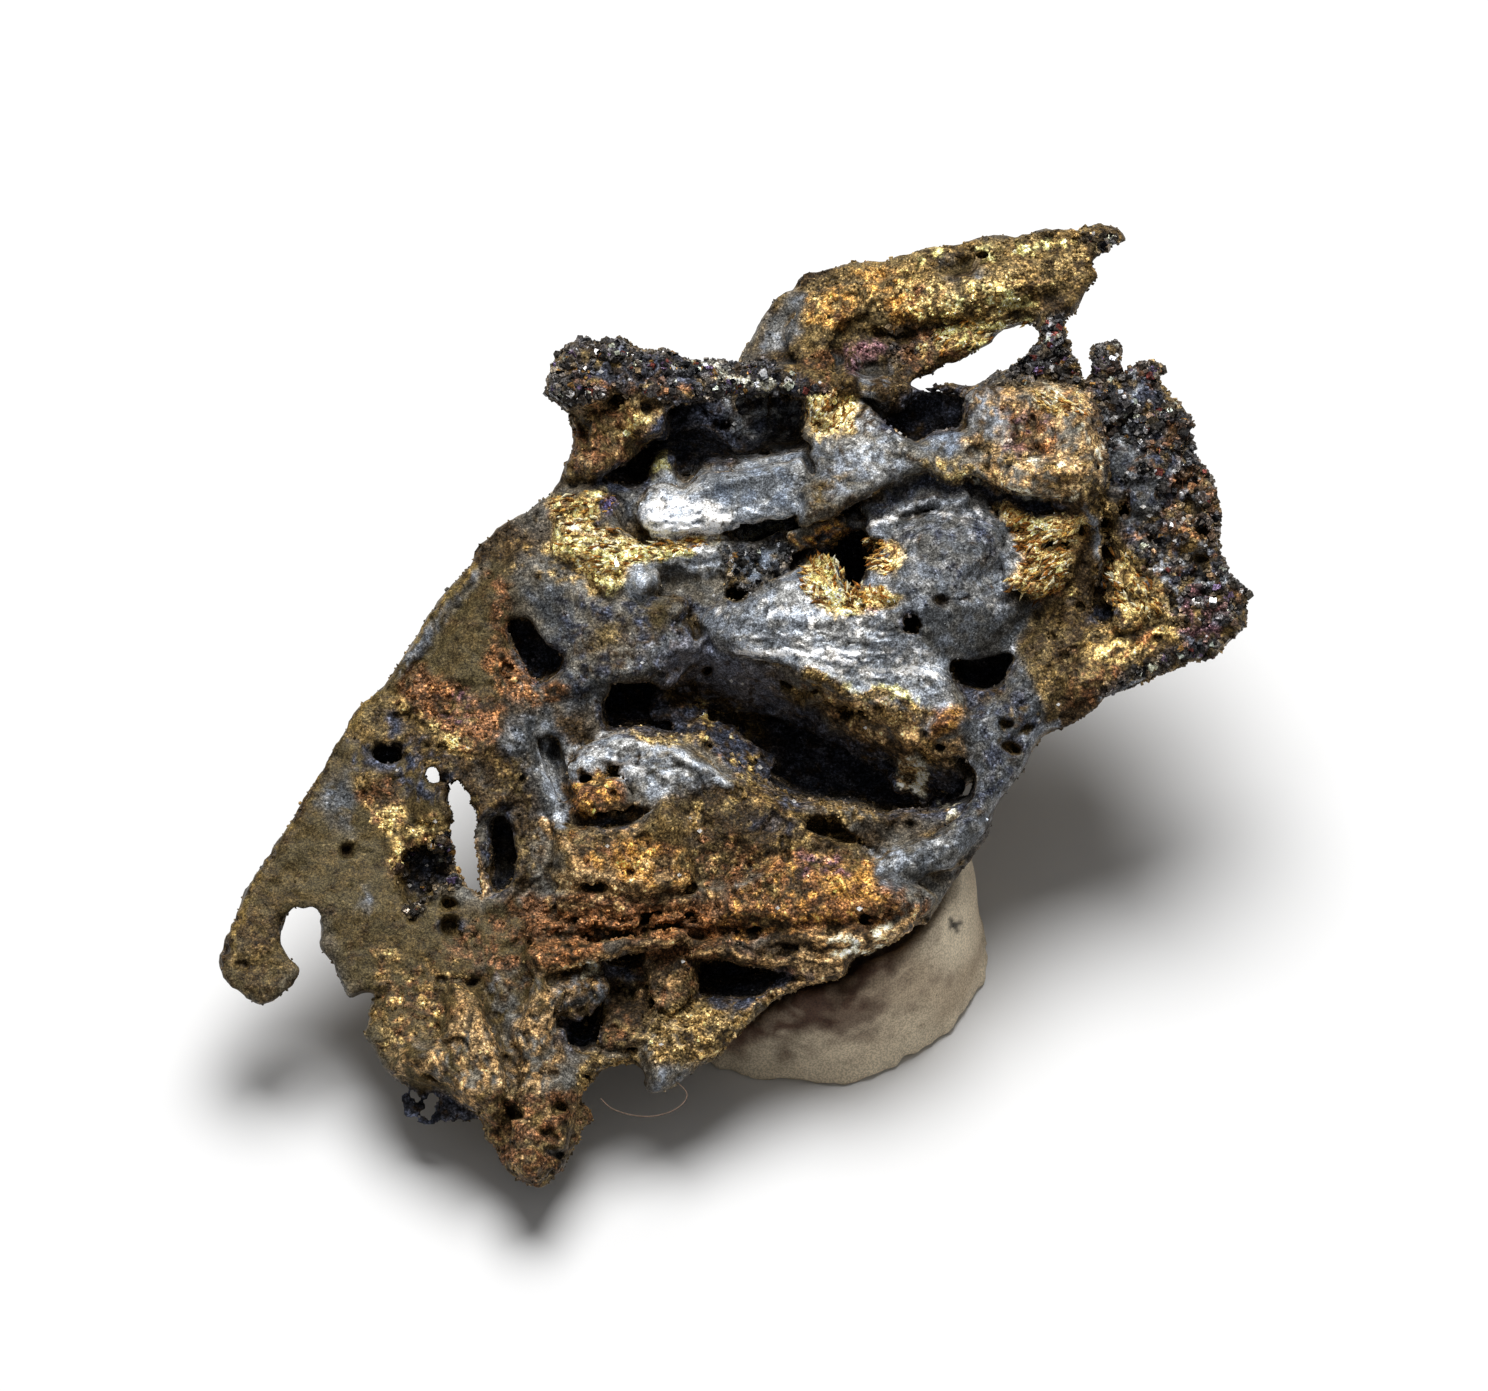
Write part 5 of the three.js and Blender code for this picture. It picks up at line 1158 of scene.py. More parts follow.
class Surroundings:
    # what the colours need to know of the form: whether a point is open to the front, how deep and how hemmed in
    def __init__(self, block, field):
        self.block = block.part((0, 0, 0), field.shape, 2)
        solid = (field[::2, ::2, ::2] < 0).astype(np.float32)
        self.covered = boxBlur(np.maximum.accumulate(solid[:, :, ::-1], axis=2)[:, :, ::-1], 1, 1)
        tops, found = topLevels(self.block, -solid)
        wide = int(1.7 / self.block.spacing)
        weight = boxBlur(found.astype(np.float32), wide)
        self.mean = boxBlur(np.where(found, tops, 0).astype(np.float32), wide) / np.maximum(weight, 1e-3)
        self.crowd = boxBlur(solid, int(crust["crowding"] / self.block.spacing / 2))

    def front(self, points):
        above = self.block.indices(points + np.array([0, 0, 0.35]))
        return 1 - smoothStep(0.2, 0.8, sampleAt(self.covered, above))

    def hemmed(self, points):
        return sampleAt(self.crowd, self.block.indices(points))

    def depth(self, points):
        return sampleAt(self.mean, self.block.indices(points)[:, :2]) - points[:, 2]


def backFinish(points):  # a plain mixture for the side that the picture doesn't show
    broad = smoothStep(-0.25, 0.25, pointNoise(points, 2.6, 41) + 0.4 * pointNoise(points, 0.8, 42))[:, None]
    spots = smoothStep(0.18, 0.5, pointNoise(points, 0.45, 43) + 0.5 * pointNoise(points, 2.2, 44))[:, None]
    dark = smoothStep(0.1, 0.5, pointNoise(points, 1.7, 45))[:, None]
    rows = finishRows["umber"] * (1 - broad) + finishRows["bronze"] * broad
    rows = rows + spots * (finishRows["oliveGold"] - rows)
    return rows + 0.8 * dark * (finishRows["slate"] - rows)


def steepness(points, faces):  # 1 where the surface runs along the view or looks away from it
    a, b, c = (points[faces[:, k]] for k in range(3))
    cross = np.cross(b - a, c - a)
    total = np.zeros_like(points)
    for k in range(3):
        np.add.at(total, faces[:, k], cross)
    return 1 - smoothStep(0.1, 0.4, total[:, 2] / np.maximum(np.linalg.norm(total, axis=1), 1e-9))


def colourCrust(points, faces, around, fine):
    front = around.front(points)
    hemmed = around.hemmed(points)
    steep = steepness(points, faces)[:, None]
    rows = backFinish(points)
    stray = crust["stray"] * steep * np.stack([pointNoise(points, 0.45, seed) for seed in (64, 65)], axis=1)
    seen = sampleAt(faceFinish, mapIndices(points[:, :2] + stray))
    rows = rows + front[:, None] * (1 - 0.35 * steep) * (seen - rows)
    uneven = 0.2 + 0.8 * np.clip(rows[:, 5], 0, 1.2)
    # painted shade and highlight: darker in hollows that the solid hems in and in the dips of the fine relief, lighter
    # on its rises; the two lines after are random tone
    light = 1.15 - (0.6 - 0.45 * front) * smoothStep(0.54, 0.78, hemmed)
    light *= 1 - uneven * (0.6 - 0.6 * smoothStep(-0.28, 0.0, fine) - 0.7 * smoothStep(0.0, 0.12, fine))
    light *= 1 + uneven * (0.16 * pointNoise(points, 1.4, 46) + 0.25 * pointNoise(points, 0.5, 47))
    light *= 1 + 0.7 * uneven * pointNoise(points, 0.17, 48)
    tint = rows[:, :3] * np.clip(light, 0.03, 2)[:, None]
    return {"tint": tint, "look": rows[:, 3:6], "druse": rows[:, 6], "front": front, "hemmed": hemmed}


def capped(field):  # the field closed at the walls of its block
    for axis in range(3):
        for end in (0, -1):
            wall = [slice(None)] * 3
            wall[axis] = end
            field[tuple(wall)] = np.maximum(field[tuple(wall)], 0.02)
    return field


def makeCrust():
    block, field = nodeField(crust["node"], crust["spacing"], crust["measured"], crust["margin"], crust["reach"])
    layFlaps(block, field)
    print("  crust measured", field.shape)
    tops, _ = topLevels(block, field)
    around = Surroundings(block, field)
    nx, ny, nz = field.shape
    parting = int((crust["split"] - block.low[2]) / crust["spacing"])
    middle = nx // 2
    lap = crust["overlap"]
    parts = {
        "faceLeft": ((0, 0, parting - lap), (middle + lap, ny, nz), 1),
        "faceRight": ((middle - lap, 0, parting - lap), (nx, ny, nz), 1),
        "back": ((0, 0, 0), (nx, ny, parting + lap), 2),
    }
    made = []
    for name, (start, stop, step) in parts.items():
        cut = tuple(slice(a, b, step) for a, b in zip(start, stop))
        own = block.part(start, stop, step)
        surface, fine = roughened(own, field[cut], tops[cut[0], cut[1]])
        indices, quads = dropCrumbs(*surfaceNet(capped(surface)), crust["crumb"])
        piece = addPiece(name, makeMesh(name, toRow(own.places(indices)), quads))
        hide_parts(crust["node"])
        mesh = thin(piece, crust["triangles"][name])
        points, faces = meshArrays(mesh)
        picture = toPicture(points)
        base = colourCrust(picture, faces, around, sampleAt(fine, own.indices(picture)))
        setColours(mesh, "tint", base["tint"])
        setColours(mesh, "look", base["look"])
        base["points"], base["faces"] = points, faces
        made.append((piece, base))
        print("  ", name, 2 * len(quads), "triangles, thinned to", len(faces))
    return made, around


# Small crystals that sit on the crust

crystals = {
    "cubes": 7000,
    "chips": 16000,
    "cubeSize": (0.1, 0.28),     # mm across
    "chipSize": (0.1, 0.3),
    "cubeChoice": 3.0,           # how strictly each keeps to the drusy places
    "chipChoice": 1.3,
    "sink": 0.2,
    "backShare": 0.3,
    "accentShare": 0.3,          # of those on the dark clusters, in other tints than their own
    # the first two accents, near-white and pale green-grey, are painted glints
    "accents": [(205, 205, 208), (170, 176, 160), (96, 50, 44), (88, 74, 98), (128, 96, 54), (8, 8, 10), (8, 8, 10),
                (8, 8, 10)],
    "seed": 7,
}

cubeCorners = np.array([[x, y, z] for x in (-1, 1) for y in (-1, 1) for z in (-1, 1)]) * 0.5
cubeSides = np.array([[0, 1, 3, 2], [4, 6, 7, 5], [0, 4, 5, 1], [2, 3, 7, 6], [0, 2, 6, 4], [1, 5, 7, 3]])


chipCorners = np.array([[1, 0, 0], [-1, 0, 0], [0, 1, 0], [0, -1, 0], [0, 0, 1], [0, 0, -1]]) * 0.5
chipSides = np.array([[0, 2, 4], [2, 1, 4], [1, 3, 4], [3, 0, 4], [2, 0, 5], [1, 2, 5], [3, 1, 5], [0, 3, 5]])


def randomTurns(rng, count):
    q = rng.normal(size=(count, 4))
    q /= np.linalg.norm(q, axis=1)[:, None]
    w, x, y, z = q.T
    return np.stack([
        np.stack([1 - 2 * (y * y + z * z), 2 * (x * y - z * w), 2 * (x * z + y * w)], axis=1),
        np.stack([2 * (x * y + z * w), 1 - 2 * (x * x + z * z), 2 * (y * z - x * w)], axis=1),
        np.stack([2 * (x * z - y * w), 2 * (y * z + x * w), 1 - 2 * (x * x + y * y)], axis=1),
    ], axis=1)


def joinBases(made):
    shift = 0
    joined = {key: [] for key in made[0][1]}
    for _, base in made:
        for key, values in base.items():
            joined[key].append(values + shift if key == "faces" else values)
        shift += len(base["points"])
    return {key: np.concatenate(values) for key, values in joined.items()}


def scatter(name, base, form, count, sizes, choice, rng):
    corners, sides = form
    points, faces = base["points"], base["faces"]
    a, b, c = (points[faces[:, k]] for k in range(3))
    cross = np.cross(b - a, c - a)
    area = np.linalg.norm(cross, axis=1)
    mean = {key: base[key][faces].mean(axis=1) for key in ("druse", "front", "tint", "look", "hemmed")}
    share = crystals["backShare"] + (1 - crystals["backShare"]) * mean["front"]
    weight = area * np.clip(mean["druse"], 0, 2) ** choice * share
    chosen = rng.choice(len(faces), size=count, p=weight / weight.sum())
    s, t = rng.random(count), rng.random(count)
    over = s + t > 1
    s, t = np.where(over, 1 - s, s), np.where(over, 1 - t, t)
    at = a[chosen] + s[:, None] * (b - a)[chosen] + t[:, None] * (c - a)[chosen]
    normal = cross[chosen] / area[chosen][:, None]
    low, high = sizes
    rich = np.clip(mean["druse"][chosen], 0, 1)
    size = (low + (high - low) * rng.random(count) ** 2 * (0.35 + 0.65 * rich)) * milli
    at = at + normal * (size * (0.5 - crystals["sink"]) * rng.random(count))[:, None]
    stretch = rng.uniform(0.6, 1.4, (count, 1, 3))
    local = corners[None] * stretch * size[:, None, None]
    turned = np.einsum("nij,nkj->nki", randomTurns(rng, count), local) + at[:, None]
    allFaces = (sides[None] + (np.arange(count) * len(corners))[:, None, None]).reshape(-1, sides.shape[1])
    mesh = makeMesh(name, turned.reshape(-1, 3), allFaces, smooth=False)
    glow = rng.uniform(0.35, 1.5, count) * np.where(rng.random(count) < 0.12, 2.2, 1)
    tint = np.clip(mean["tint"][chosen] * glow[:, None], 0, 0.95)
    odd = rng.random(count) < crystals["accentShare"] * smoothStep(0.6, 1, mean["druse"][chosen])
    accents = np.array([toLinear(t) for t in crystals["accents"]])
    tint[odd] = accents[rng.integers(len(accents), size=odd.sum())]
    look = mean["look"][chosen].copy()
    look[:, 1] = np.clip(look[:, 1] - 0.12, 0.18, 1)
    look[:, 2] *= 0.3
    setColours(mesh, "tint", np.repeat(tint, len(corners), axis=0))
    setColours(mesh, "look", np.repeat(look, len(corners), axis=0))
    return addPiece(name, mesh)


# Tufts of fine golden strands: outline in picture points, the way the strands point in degrees, how far they
# fan out, and how many there are
tufts = [
    (tuftRight,
     205, 35, 330),
    (tuftMiddle, 120, 60, 200),
    (tuftSmall, 190, 30, 50),
    ([556, 498, 600, 486, 614, 496, 604, 520, 640, 540, 722, 536, 690, 554, 640, 562, 600, 575, 566, 560], 185, 14, 200),
    (tuftEdge, 130, 25, 90),
    ([1026, 390, 1060, 392, 1090, 414, 1050, 416], 150, 20, 50),
    (tuftTop, 60, 25, 70),
    ([935, 322, 985, 314, 1036, 316, 985, 340, 940, 355], 200, 30, 60),
]
strand = {"length": (0.16, 0.5), "width": (0.09, 0.17), "rise": (-5, 20), "seed": 19,
          "tints": ((210, 180, 118), (192, 150, 80), (136, 90, 42), (236, 222, 178), (104, 70, 34))}


def makeTufts(base):
    picture = toPicture(base["points"])
    rng = np.random.default_rng(strand["seed"])
    faces = base["faces"]
    middles = picture[faces].mean(axis=1)
    open_ = base["front"][faces].mean(axis=1) > 0.5
    tints = np.array([toLinear(t) for t in strand["tints"]])
    corners, colours = [], []
    for outline, turn, fan, count in tufts:
        distance, window = outlineDistance(outline)
        sheet = np.full(mapShape, farAway, dtype=np.float32)
        sheet[window] = distance
        inside = np.flatnonzero(open_ & (sampleAt(sheet, mapIndices(middles)) < 0))
        at = middles[rng.choice(inside, size=count)]
        angle = np.radians(turn + fan * rng.uniform(-1, 1, count))
        rise = np.radians(rng.uniform(*strand["rise"], count))
        along = np.stack([np.cos(angle) * np.cos(rise), np.sin(angle) * np.cos(rise), np.sin(rise)], axis=1)
        side = np.cross(along, [0, 0, 1])
        side /= np.linalg.norm(side, axis=1)[:, None]
        over = np.cross(side, along)
        long = rng.uniform(*strand["length"], count)[:, None]
        thick = rng.uniform(*strand["width"], count)[:, None]
        bend = rng.uniform(-0.2, 0.2, count)[:, None] * long
        mid = at + along * long * 0.45 + side * bend
        ring = [mid + side * thick / 2, mid + over * thick / 2, mid - side * thick / 2, mid - over * thick / 2]
        corners.append(np.stack([at - along * 0.15] + ring + [at + along * long], axis=1))
        colours.append(tints[rng.integers(len(tints), size=count)] * rng.uniform(0.7, 1.1, (count, 1)))
    corners = np.concatenate(corners)
    sides = np.array([[0, 1, 2], [0, 2, 3], [0, 3, 4], [0, 4, 1], [5, 2, 1], [5, 3, 2], [5, 4, 3], [5, 1, 4]])
    every = (sides[None] + (np.arange(len(corners)) * 6)[:, None, None]).reshape(-1, 3)
    mesh = makeMesh("strands", toRow(corners.reshape(-1, 3)), every, smooth=False)
    setColours(mesh, "tint", np.repeat(np.concatenate(colours), 6, axis=0))
    setColours(mesh, "look", np.tile([0.8, 0.36, 0.2], (len(corners) * 6, 1)))
    return addPiece("strands", mesh)


def makeGlints(base):
    # painted highlight: one near-white grain where each glint is seen, on the face's surface
    picture = toPicture(base["points"])
    spots = toMm(glints)
    rng = np.random.default_rng(crystals["seed"] + 1)
    corners, sides = chipCorners, chipSides
    parts, tints = [], []
    for spot in spots:
        near = np.hypot(picture[:, 0] - spot[0], picture[:, 1] - spot[1])
        rank = near - 0.5 * base["front"] - 0.05 * picture[:, 2]
        at = base["points"][np.argmin(rank)]
        size = rng.uniform(0.16, 0.28) * milli
        parts.append(corners * size * rng.uniform(0.8, 1.2, 3) + at)
        tints.append(np.array([0.9, 0.88, 0.84]) * rng.uniform(0.8, 1.05))
    count = len(spots)
    faces = (sides[None] + (np.arange(count) * len(corners))[:, None, None]).reshape(-1, 3)
    mesh = makeMesh("glints", np.concatenate(parts), faces, smooth=False)
    setColours(mesh, "tint", np.clip(np.repeat(np.array(tints), len(corners), axis=0), 0, 0.95))
    setColours(mesh, "look", np.tile([0.3, 0.3, 0.1], (count * len(corners), 1)))
    return addPiece("glints", mesh)


# A fine fibre of dust that hangs from the lower edge: x, y in picture points and level in mm

fibre = {
    "path": [602, 1094, 2.0, 612, 1105, 1.9, 632, 1111, 1.7, 652, 1113, 1.5, 672, 1108, 1.3, 684, 1100, 1.2, 689, 1091, 1.1,
             684, 1084, 1.0, 676, 1078, 0.9],
    "radius": 0.026,
    "sides": 5,
    "steps": 60,
    "tint": (104, 86, 72),
}


def makeFibre():
    knots = np.array(fibre["path"], dtype=np.float64).reshape(-1, 3)
    knots[:, :2] = toMm(knots[:, :2])
    along = np.linspace(0, len(knots) - 1, fibre["steps"])
    line = np.stack([np.interp(along, np.arange(len(knots)), knots[:, k]) for k in range(3)], axis=1)
    for _ in range(12):
        line[1:-1] = (line[:-2] + line[1:-1] + line[2:]) / 3
    run = np.gradient(line, axis=0)
    side = np.cross(run, [0, 0, 1])
    side /= np.linalg.norm(side, axis=1)[:, None]
    over = np.cross(side, run)
    over /= np.linalg.norm(over, axis=1)[:, None]
    turn = np.arange(fibre["sides"]) * 2 * math.pi / fibre["sides"]
    ring = np.cos(turn)[None, :, None] * side[:, None] + np.sin(turn)[None, :, None] * over[:, None]
    points = (line[:, None] + fibre["radius"] * ring).reshape(-1, 3)
    i, j = np.meshgrid(np.arange(fibre["steps"] - 1), np.arange(fibre["sides"]), indexing="ij")
    i, j, after = i.ravel(), j.ravel(), (j.ravel() + 1) % fibre["sides"]
    count = fibre["sides"]
    quads = np.stack([i * count + j, i * count + after, (i + 1) * count + after, (i + 1) * count + j], axis=1)
    mesh = makeMesh("fibre", toRow(points), quads)
    setColours(mesh, "tint", np.tile(toLinear(fibre["tint"]), (len(points), 1)))
    return addPiece("fibre", mesh)


# Putty rest

putty = {
    "node": "putty_rest",
    "spacing": 0.16,
    "margin": 0.7,
    "reach": 0.6,
    "triangles": 60000,
    "cream": (180, 162, 136),
    "pale": (214, 199, 172),
    "stainAndShade": (78, 54, 40),
    # where the putty is browned, partly by stain and partly as painted shade under the crust, in picture points
    "soiledAndShaded": [690, 1070, 745, 1056, 790, 1050, 850, 1034, 890, 990, 915, 950, 935, 930, 935, 890, 690, 960],
    "speck": [950, 919, 957, 930, 950, 925, 960, 923],      # a tiny dark speck on the wall, in picture points
    "dimples": [920, 1024, 0.26, 905, 1034, 0.2, 868, 1000, 0.5, 825, 1012, 0.45, 790, 1030, 0.5, 842, 986, 0.4],
}


def makePutty(around):
    block, field = nodeField(putty["node"], putty["spacing"], 2, putty["margin"], putty["reach"])
    axes = block.axes()
    places = np.stack(np.meshgrid(*axes, indexing="ij"), axis=-1)
    height = (toRow(places.reshape(-1, 3))[:, 2] / milli).reshape(field.shape)
    out = 0.14 * placedNoise(axes, 2.4, 50) + 0.1 * placedNoise(axes, 1.4, 51) + 0.05 * placedNoise(axes, 0.5, 52)
    out += 0.1 * (0.4 - np.abs(placedNoise(axes, 1.1, 57) + 0.4 * placedNoise(axes, 0.45, 58)))
    out += 0.16 * smoothStep(0.9, 0.1, height) * (1 + 0.9 * placedNoise(axes, 0.5, 53))
    for x, y, radius in np.array(putty["dimples"]).reshape(-1, 3):
        spot = toMm([x, y])[0]
        away = np.hypot(places[..., 0] - spot[0], places[..., 1] - spot[1])
        out -= 0.16 * (1 - smoothStep(0.2 * radius, radius, away))
    indices, quads = dropCrumbs(*surfaceNet(field - out), crust["crumb"])
    points = toRow(block.places(indices))
    points[:, 2] = np.maximum(points[:, 2], 0)
    piece = addPiece("putty", makeMesh("putty", points, quads))
    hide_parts(putty["node"])
    mesh = thin(piece, putty["triangles"])
    points, _ = meshArrays(mesh)
    picture = toPicture(points)
    close = around.hemmed(picture)
    rough = pointNoise(picture, 1.1, 54) + 0.5 * pointNoise(picture, 0.4, 55)
    finer = pointNoise(picture, 0.35, 59)
    sheet = np.full(mapShape, farAway, dtype=np.float32)
    distance, window = outlineDistance(putty["soiledAndShaded"])
    sheet[window] = distance
    # brown: stain and painted shade together in the outline, painted shade where the putty lies close under the crust,
    # and stain in random mottles
    stainAndShade = 0.97 * smoothStep(0.8, -0.9, sampleAt(sheet, mapIndices(picture)) + 0.9 * rough)
    stainAndShade *= 0.82 + 0.2 * smoothStep(-0.6, 0.2, rough + 0.8 * finer)
    stainAndShade = np.clip(np.maximum(stainAndShade, 0.85 * smoothStep(0.0, 0.2, close + 0.05 * rough)), 0, 1)
    stainAndShade = np.maximum(stainAndShade, 0.35 * smoothStep(0.45, 0.9, rough))
    cream, pale, brown = (toLinear(putty[key]) for key in ("cream", "pale", "stainAndShade"))
    wear = smoothStep(-0.4, 0.6, pointNoise(picture, 2.2, 56))[:, None]
    tint = cream * (1 - wear) + pale * wear
    tint = tint + stainAndShade[:, None] * (brown - tint)
    lip = smoothStep(1.3, 0.5, points[:, 2] / milli)[:, None]
    tint = tint + 0.6 * lip * (pale - tint)
    corners = toMm(putty["speck"])
    for a, b in zip(corners[0::2], corners[1::2]):
        away = segmentDistance(picture[:, 0], picture[:, 1], a, b)
        tint *= (1 - 0.8 * (1 - smoothStep(0.04, 0.14, away)))[:, None]
    setColours(mesh, "tint", tint)
    return piece


# Materials

class Wire:
    # an output socket that can stand in sums, each of which adds its Math node
    def __init__(self, shader, socket):
        self.shader = shader
        self.socket = socket

    def maths(self, operation, first, second):
        return self.shader.node("ShaderNodeMath", {"operation": operation}, {0: first, 1: second})

    def __add__(self, other):
        return self.maths("ADD", self, other)

    def __sub__(self, other):
        return self.maths("SUBTRACT", self, other)

    def __mul__(self, other):
        return self.maths("MULTIPLY", self, other)

    def __rsub__(self, other):
        return self.maths("SUBTRACT", other, self)

    __radd__ = __add__
    __rmul__ = __mul__


class Shader:
    def __init__(self, name):
        self.material = bpy.data.materials.new(name)
        self.material.use_nodes = True
        self.tree = self.material.node_tree
        self.surface = self.tree.nodes["Principled BSDF"]

    def node(self, kind, settings=None, sockets=None, out=0):
        made = self.tree.nodes.new(kind)
        for key, value in (settings or {}).items():
            setattr(made, key, value)
        for key, value in (sockets or {}).items():
            self.plug(made.inputs[key], value)
        return Wire(self, made.outputs[out])

    def plug(self, socket, value):
        if isinstance(value, Wire):
            self.tree.links.new(value.socket, socket)
        else:
            socket.default_value = value

    def set(self, name, value):
        self.plug(self.surface.inputs[name], value)

    def ramp(self, low, high, value):  # 0 below low, 1 above high, smooth between
        return self.node("ShaderNodeMapRange", {"interpolation_type": "SMOOTHSTEP"},
                         {"Value": value, "From Min": low, "From Max": high})

    def blend(self, factor, a, b):  # between two numbers
        return self.node("ShaderNodeMix", {"data_type": "FLOAT"}, {0: factor, 2: a, 3: b})

    def between(self, factor, a, b):  # between two colours
        return self.node("ShaderNodeMix", {"data_type": "RGBA"}, {0: factor, 6: a, 7: b}, 2)

    def scaled(self, colour, value):
        return self.node("ShaderNodeVectorMath", {"operation": "SCALE"}, {0: colour, "Scale": value})

    def noise(self, place, scale, detail, rough=0.55):
        return self.node("ShaderNodeTexNoise", None,
                         {"Vector": place, "Scale": scale, "Detail": detail, "Roughness": rough})

    def cells(self, place, scale, output):
        return self.node("ShaderNodeTexVoronoi", None, {"Vector": place, "Scale": scale}, output)


def placeInMm(shader):
    place = shader.node("ShaderNodeTexCoord", None, None, "Object")
    return shader.scaled(place, 1000.0)


def pyriteMaterial(name, cellScale, gapShadeDepth):
    shader = Shader(name)
    place = placeInMm(shader)
    tint = shader.node("ShaderNodeAttribute", {"attribute_name": "tint"}, None, "Color")
    look = shader.node("ShaderNodeAttribute", {"attribute_name": "look"}, None, "Vector")
    parts = shader.node("ShaderNodeSeparateXYZ", None, {0: look})
    metal = parts
    rough = Wire(shader, parts.socket.node.outputs[1])
    grain = Wire(shader, parts.socket.node.outputs[2])
    mottle = shader.noise(place, 2.2, 5, 0.68)
    fine = shader.noise(place, 9.0, 2)
    grit = shader.ramp(0.43, 0.57, shader.noise(place, 16.0, 1))
    warmth = shader.noise(place, 1.3, 3)
    far = shader.cells(place, cellScale, "Distance")
    own = shader.node("ShaderNodeSeparateXYZ", None, {0: shader.cells(place, cellScale, "Color")})
    ownTone, ownSpark = own, Wire(shader, own.socket.node.outputs[1])
    amount = shader.node("ShaderNodeClamp", None, {"Value": grain * 0.9})
    soft = 1.1 + 0.4 * shader.ramp(0.3, 0.7, mottle)
    strong = 0.6 + 1.4 * shader.ramp(0.38, 0.64, mottle)
    tone = shader.blend(amount, soft, strong)
    # painted shade: the borders between grains are darkened
    paintedGapShade = 1 - gapShadeDepth * shader.ramp(0.4, 0.8, far)
    grained = tone * (0.25 + 1.5 * ownTone) * paintedGapShade
    # painted highlight: a few grains are brightened and drawn towards near-white
    paintedSparkle = shader.ramp(0.92, 0.97, ownSpark) * amount
    specks = shader.ramp(0.4, 0.6, fine)
    # painted shade: dark specks stand for the shade in tiny pits
    pitShade = shader.ramp(0.59, 0.65, shader.noise(place, 6.5, 3))
    flakes = shader.ramp(0.6, 0.66, shader.noise(place, 8.5, 2))
    light = shader.blend(amount, tone * (0.75 + 0.5 * specks), grained * (0.5 + specks)) + paintedSparkle
    light = light * (1 - 0.5 * pitShade) * (1 + 0.7 * flakes) * (0.62 + 0.76 * grit)
    shade = shader.between(0.7 * paintedSparkle * shader.ramp(1.0, 1.3, grain), shader.scaled(tint, light), (0.8, 0.8, 0.82, 1))
    warmer = shader.node("ShaderNodeVectorMath", {"operation": "MULTIPLY"}, {0: shade, 1: (1.06, 1.0, 0.92)})
    cooler = shader.node("ShaderNodeVectorMath", {"operation": "MULTIPLY"}, {0: shade, 1: (0.96, 0.99, 1.05)})
    shader.set("Base Color", shader.node("ShaderNodeMix", {"data_type": "RGBA", "clamp_result": True},
                                         {0: shader.ramp(0.42, 0.6, warmth), 6: cooler, 7: warmer}, 2))
    shader.surface.inputs["Specular IOR Level"].default_value = 0.08
    shader.set("Metallic", shader.node("ShaderNodeClamp", None, {"Value": metal * (0.1 + 0.5 * mottle)}))
    shader.set("Roughness", shader.node("ShaderNodeClamp", None,
                                        {"Value": rough + 0.3 * (fine - 0.5) - 0.14 * paintedSparkle, "Min": 0.15}))
    height = amount * (0.045 - 0.06 * far) + 0.012 * fine + 0.02 * mottle
    shader.set("Normal", shader.node("ShaderNodeBump", None, {"Strength": 1.0, "Distance": 0.001, "Height": height}))
    return shader.material


def puttyMaterial():
    shader = Shader("putty")
    place = placeInMm(shader)
    tint = shader.node("ShaderNodeAttribute", {"attribute_name": "tint"}, None, "Color")
    soft = shader.noise(place, 1.3, 4)
    fine = shader.noise(place, 7.0, 3)
    specks = shader.ramp(0.68, 0.74, shader.noise(place, 4.5, 2))
    grit = shader.ramp(0.4, 0.6, shader.noise(place, 13.0, 2))
    shader.set("Base Color", shader.scaled(tint, (0.8 + 0.4 * soft) * (1 - 0.45 * specks) * (0.76 + 0.44 * grit)))
    shader.set("Roughness", 0.7 + 0.2 * fine)
    shader.surface.inputs["Specular IOR Level"].default_value = 0.35
    shader.set("Normal", shader.node("ShaderNodeBump", None,
                                     {"Strength": 1.0, "Distance": 0.001, "Height": 0.05 * soft + 0.02 * fine}))
    return shader.material


# Floor and light

studio = {
    "floorSize": 3.0,
    "floorTint": (0.7, 0.7, 0.7),
    "skyStrength": 0.21,
    "keyPower": 4.25,
    "keySize": 0.42,
    "keyPlace": (0.0, 0.155, 0.5),
}


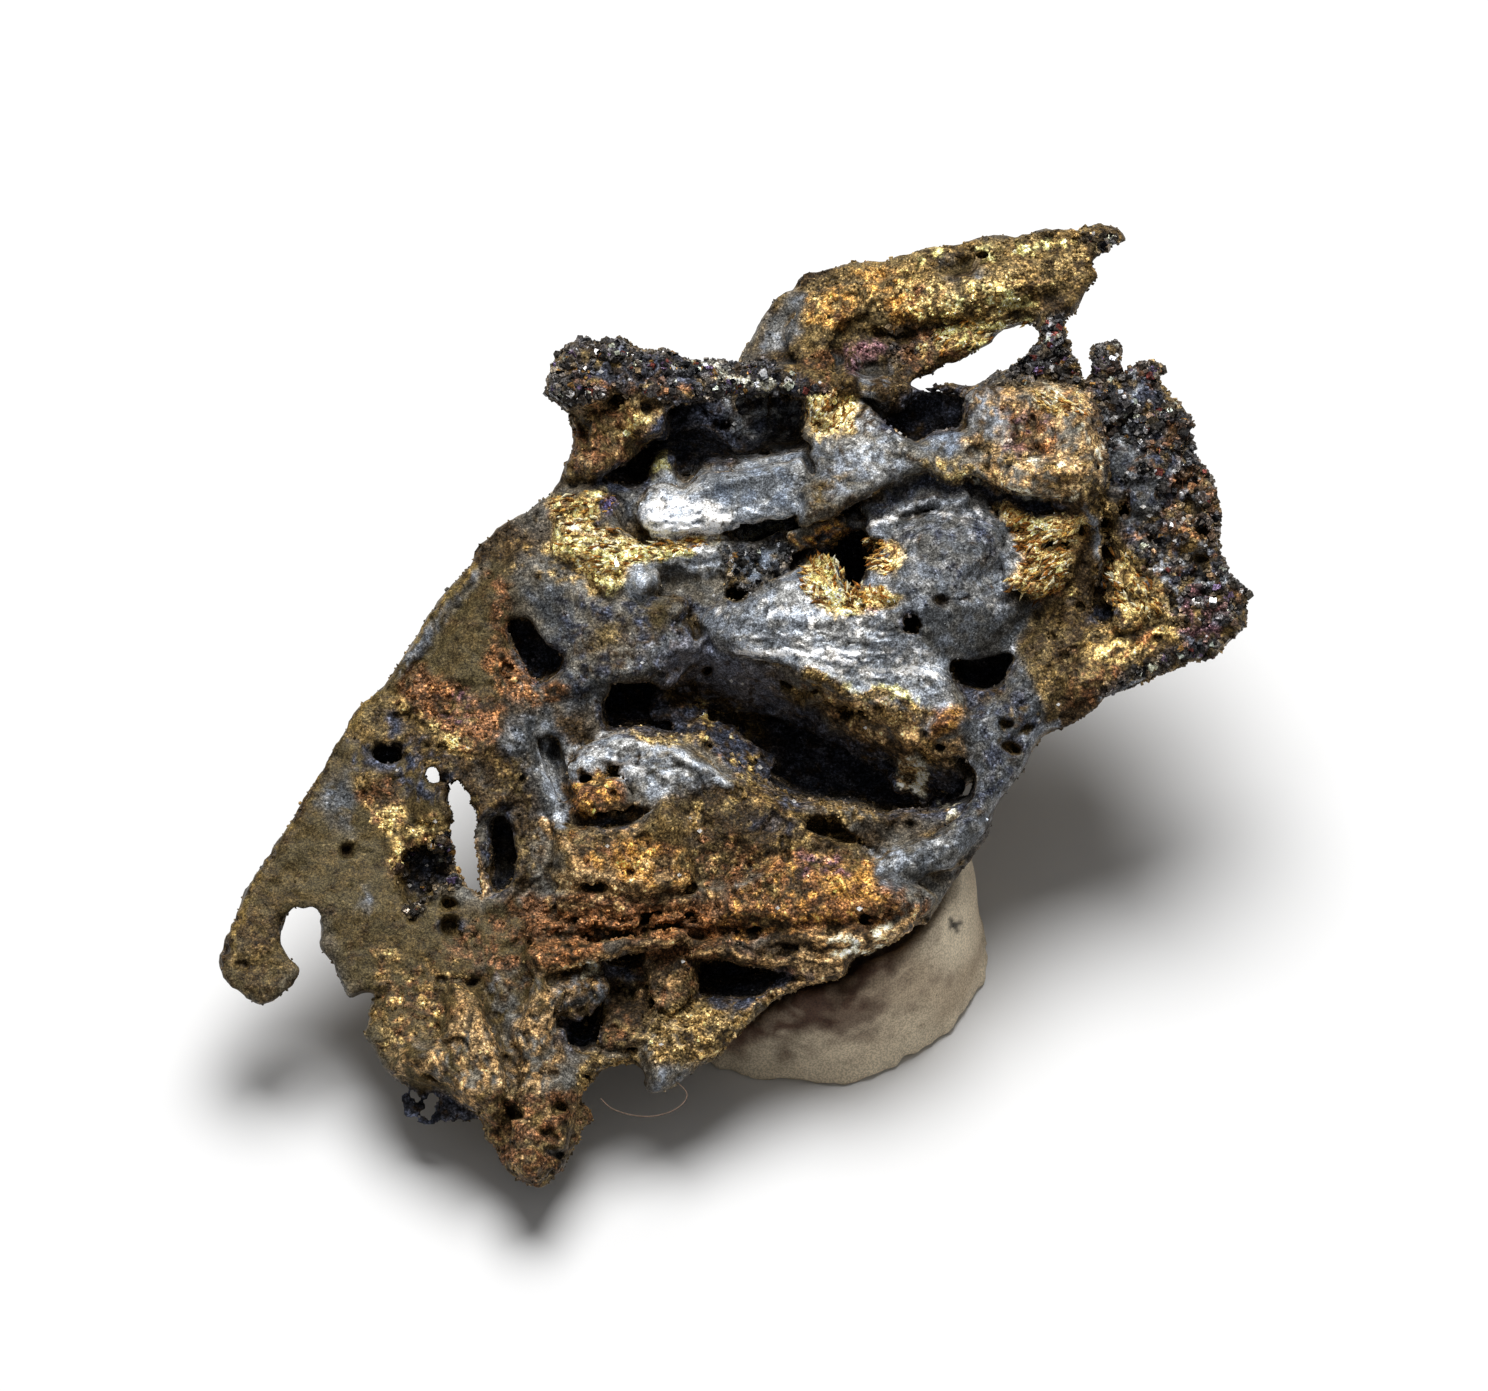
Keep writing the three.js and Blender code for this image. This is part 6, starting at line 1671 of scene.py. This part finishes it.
def makeLamp(name, power, size, place):
    data = bpy.data.lights.new(name, "AREA")
    data.shape = "DISK"
    data.size = size
    data.energy = power
    lamp = bpy.data.objects.new(name, data)
    lamp.location = place
    lamp.rotation_mode = "QUATERNION"
    lamp.rotation_quaternion = Vector(place).to_track_quat("Z", "Y")
    bpy.context.scene.collection.objects.link(lamp)


def makeStudio():
    half = studio["floorSize"] / 2
    corners = np.array([[-half, -half, 0], [half, -half, 0], [half, half, 0], [-half, half, 0]])
    floor = bpy.data.objects.new("floor", makeMesh("floor", corners, np.array([[0, 1, 2, 3]]), smooth=False))
    bpy.context.scene.collection.objects.link(floor)
    shader = Shader("floor")
    wear = shader.noise(placeInMm(shader), 0.05, 3)
    shader.set("Base Color", shader.scaled(studio["floorTint"], 0.98 + 0.04 * wear))
    shader.set("Roughness", 0.7)
    shader.surface.inputs["Specular IOR Level"].default_value = 0.1
    floor.data.materials.append(shader.material)
    world = bpy.data.worlds.new("world")
    bpy.context.scene.world = world
    world.use_nodes = True
    world.node_tree.nodes["Background"].inputs["Color"].default_value = (1, 1, 1, 1)
    world.node_tree.nodes["Background"].inputs["Strength"].default_value = studio["skyStrength"]
    makeLamp("key", studio["keyPower"], studio["keySize"], studio["keyPlace"])
    bpy.context.scene.view_settings.view_transform = "Standard"


crustMade, around = makeCrust()
print("crust made")
crustBase = joinBases(crustMade)
rng = np.random.default_rng(crystals["seed"])
cubes = scatter("cubes", crustBase, (cubeCorners, cubeSides), crystals["cubes"], crystals["cubeSize"],
                crystals["cubeChoice"], rng)
chips = scatter("chips", crustBase, (chipCorners, chipSides), crystals["chips"], crystals["chipSize"],
                crystals["chipChoice"], rng)
glintPiece = makeGlints(crustBase)
strands = makeTufts(crustBase)
fibrePiece = makeFibre()
print("crystals made")
puttyPiece = makePutty(around)
print("putty made:", len(puttyPiece.data.polygons), "triangles")
crustFinish = pyriteMaterial("tarnished crust", 7.5, 0.6)
for piece, _ in crustMade:
    piece.data.materials.append(crustFinish)
crystalFinish = pyriteMaterial("crystal faces", 9.0, 0.3)
for piece in (cubes, chips, glintPiece, strands):
    piece.data.materials.append(crystalFinish)
puttyFinish = puttyMaterial()
puttyPiece.data.materials.append(puttyFinish)
fibrePiece.data.materials.append(puttyFinish)
makeStudio()
print("materials and studio made")
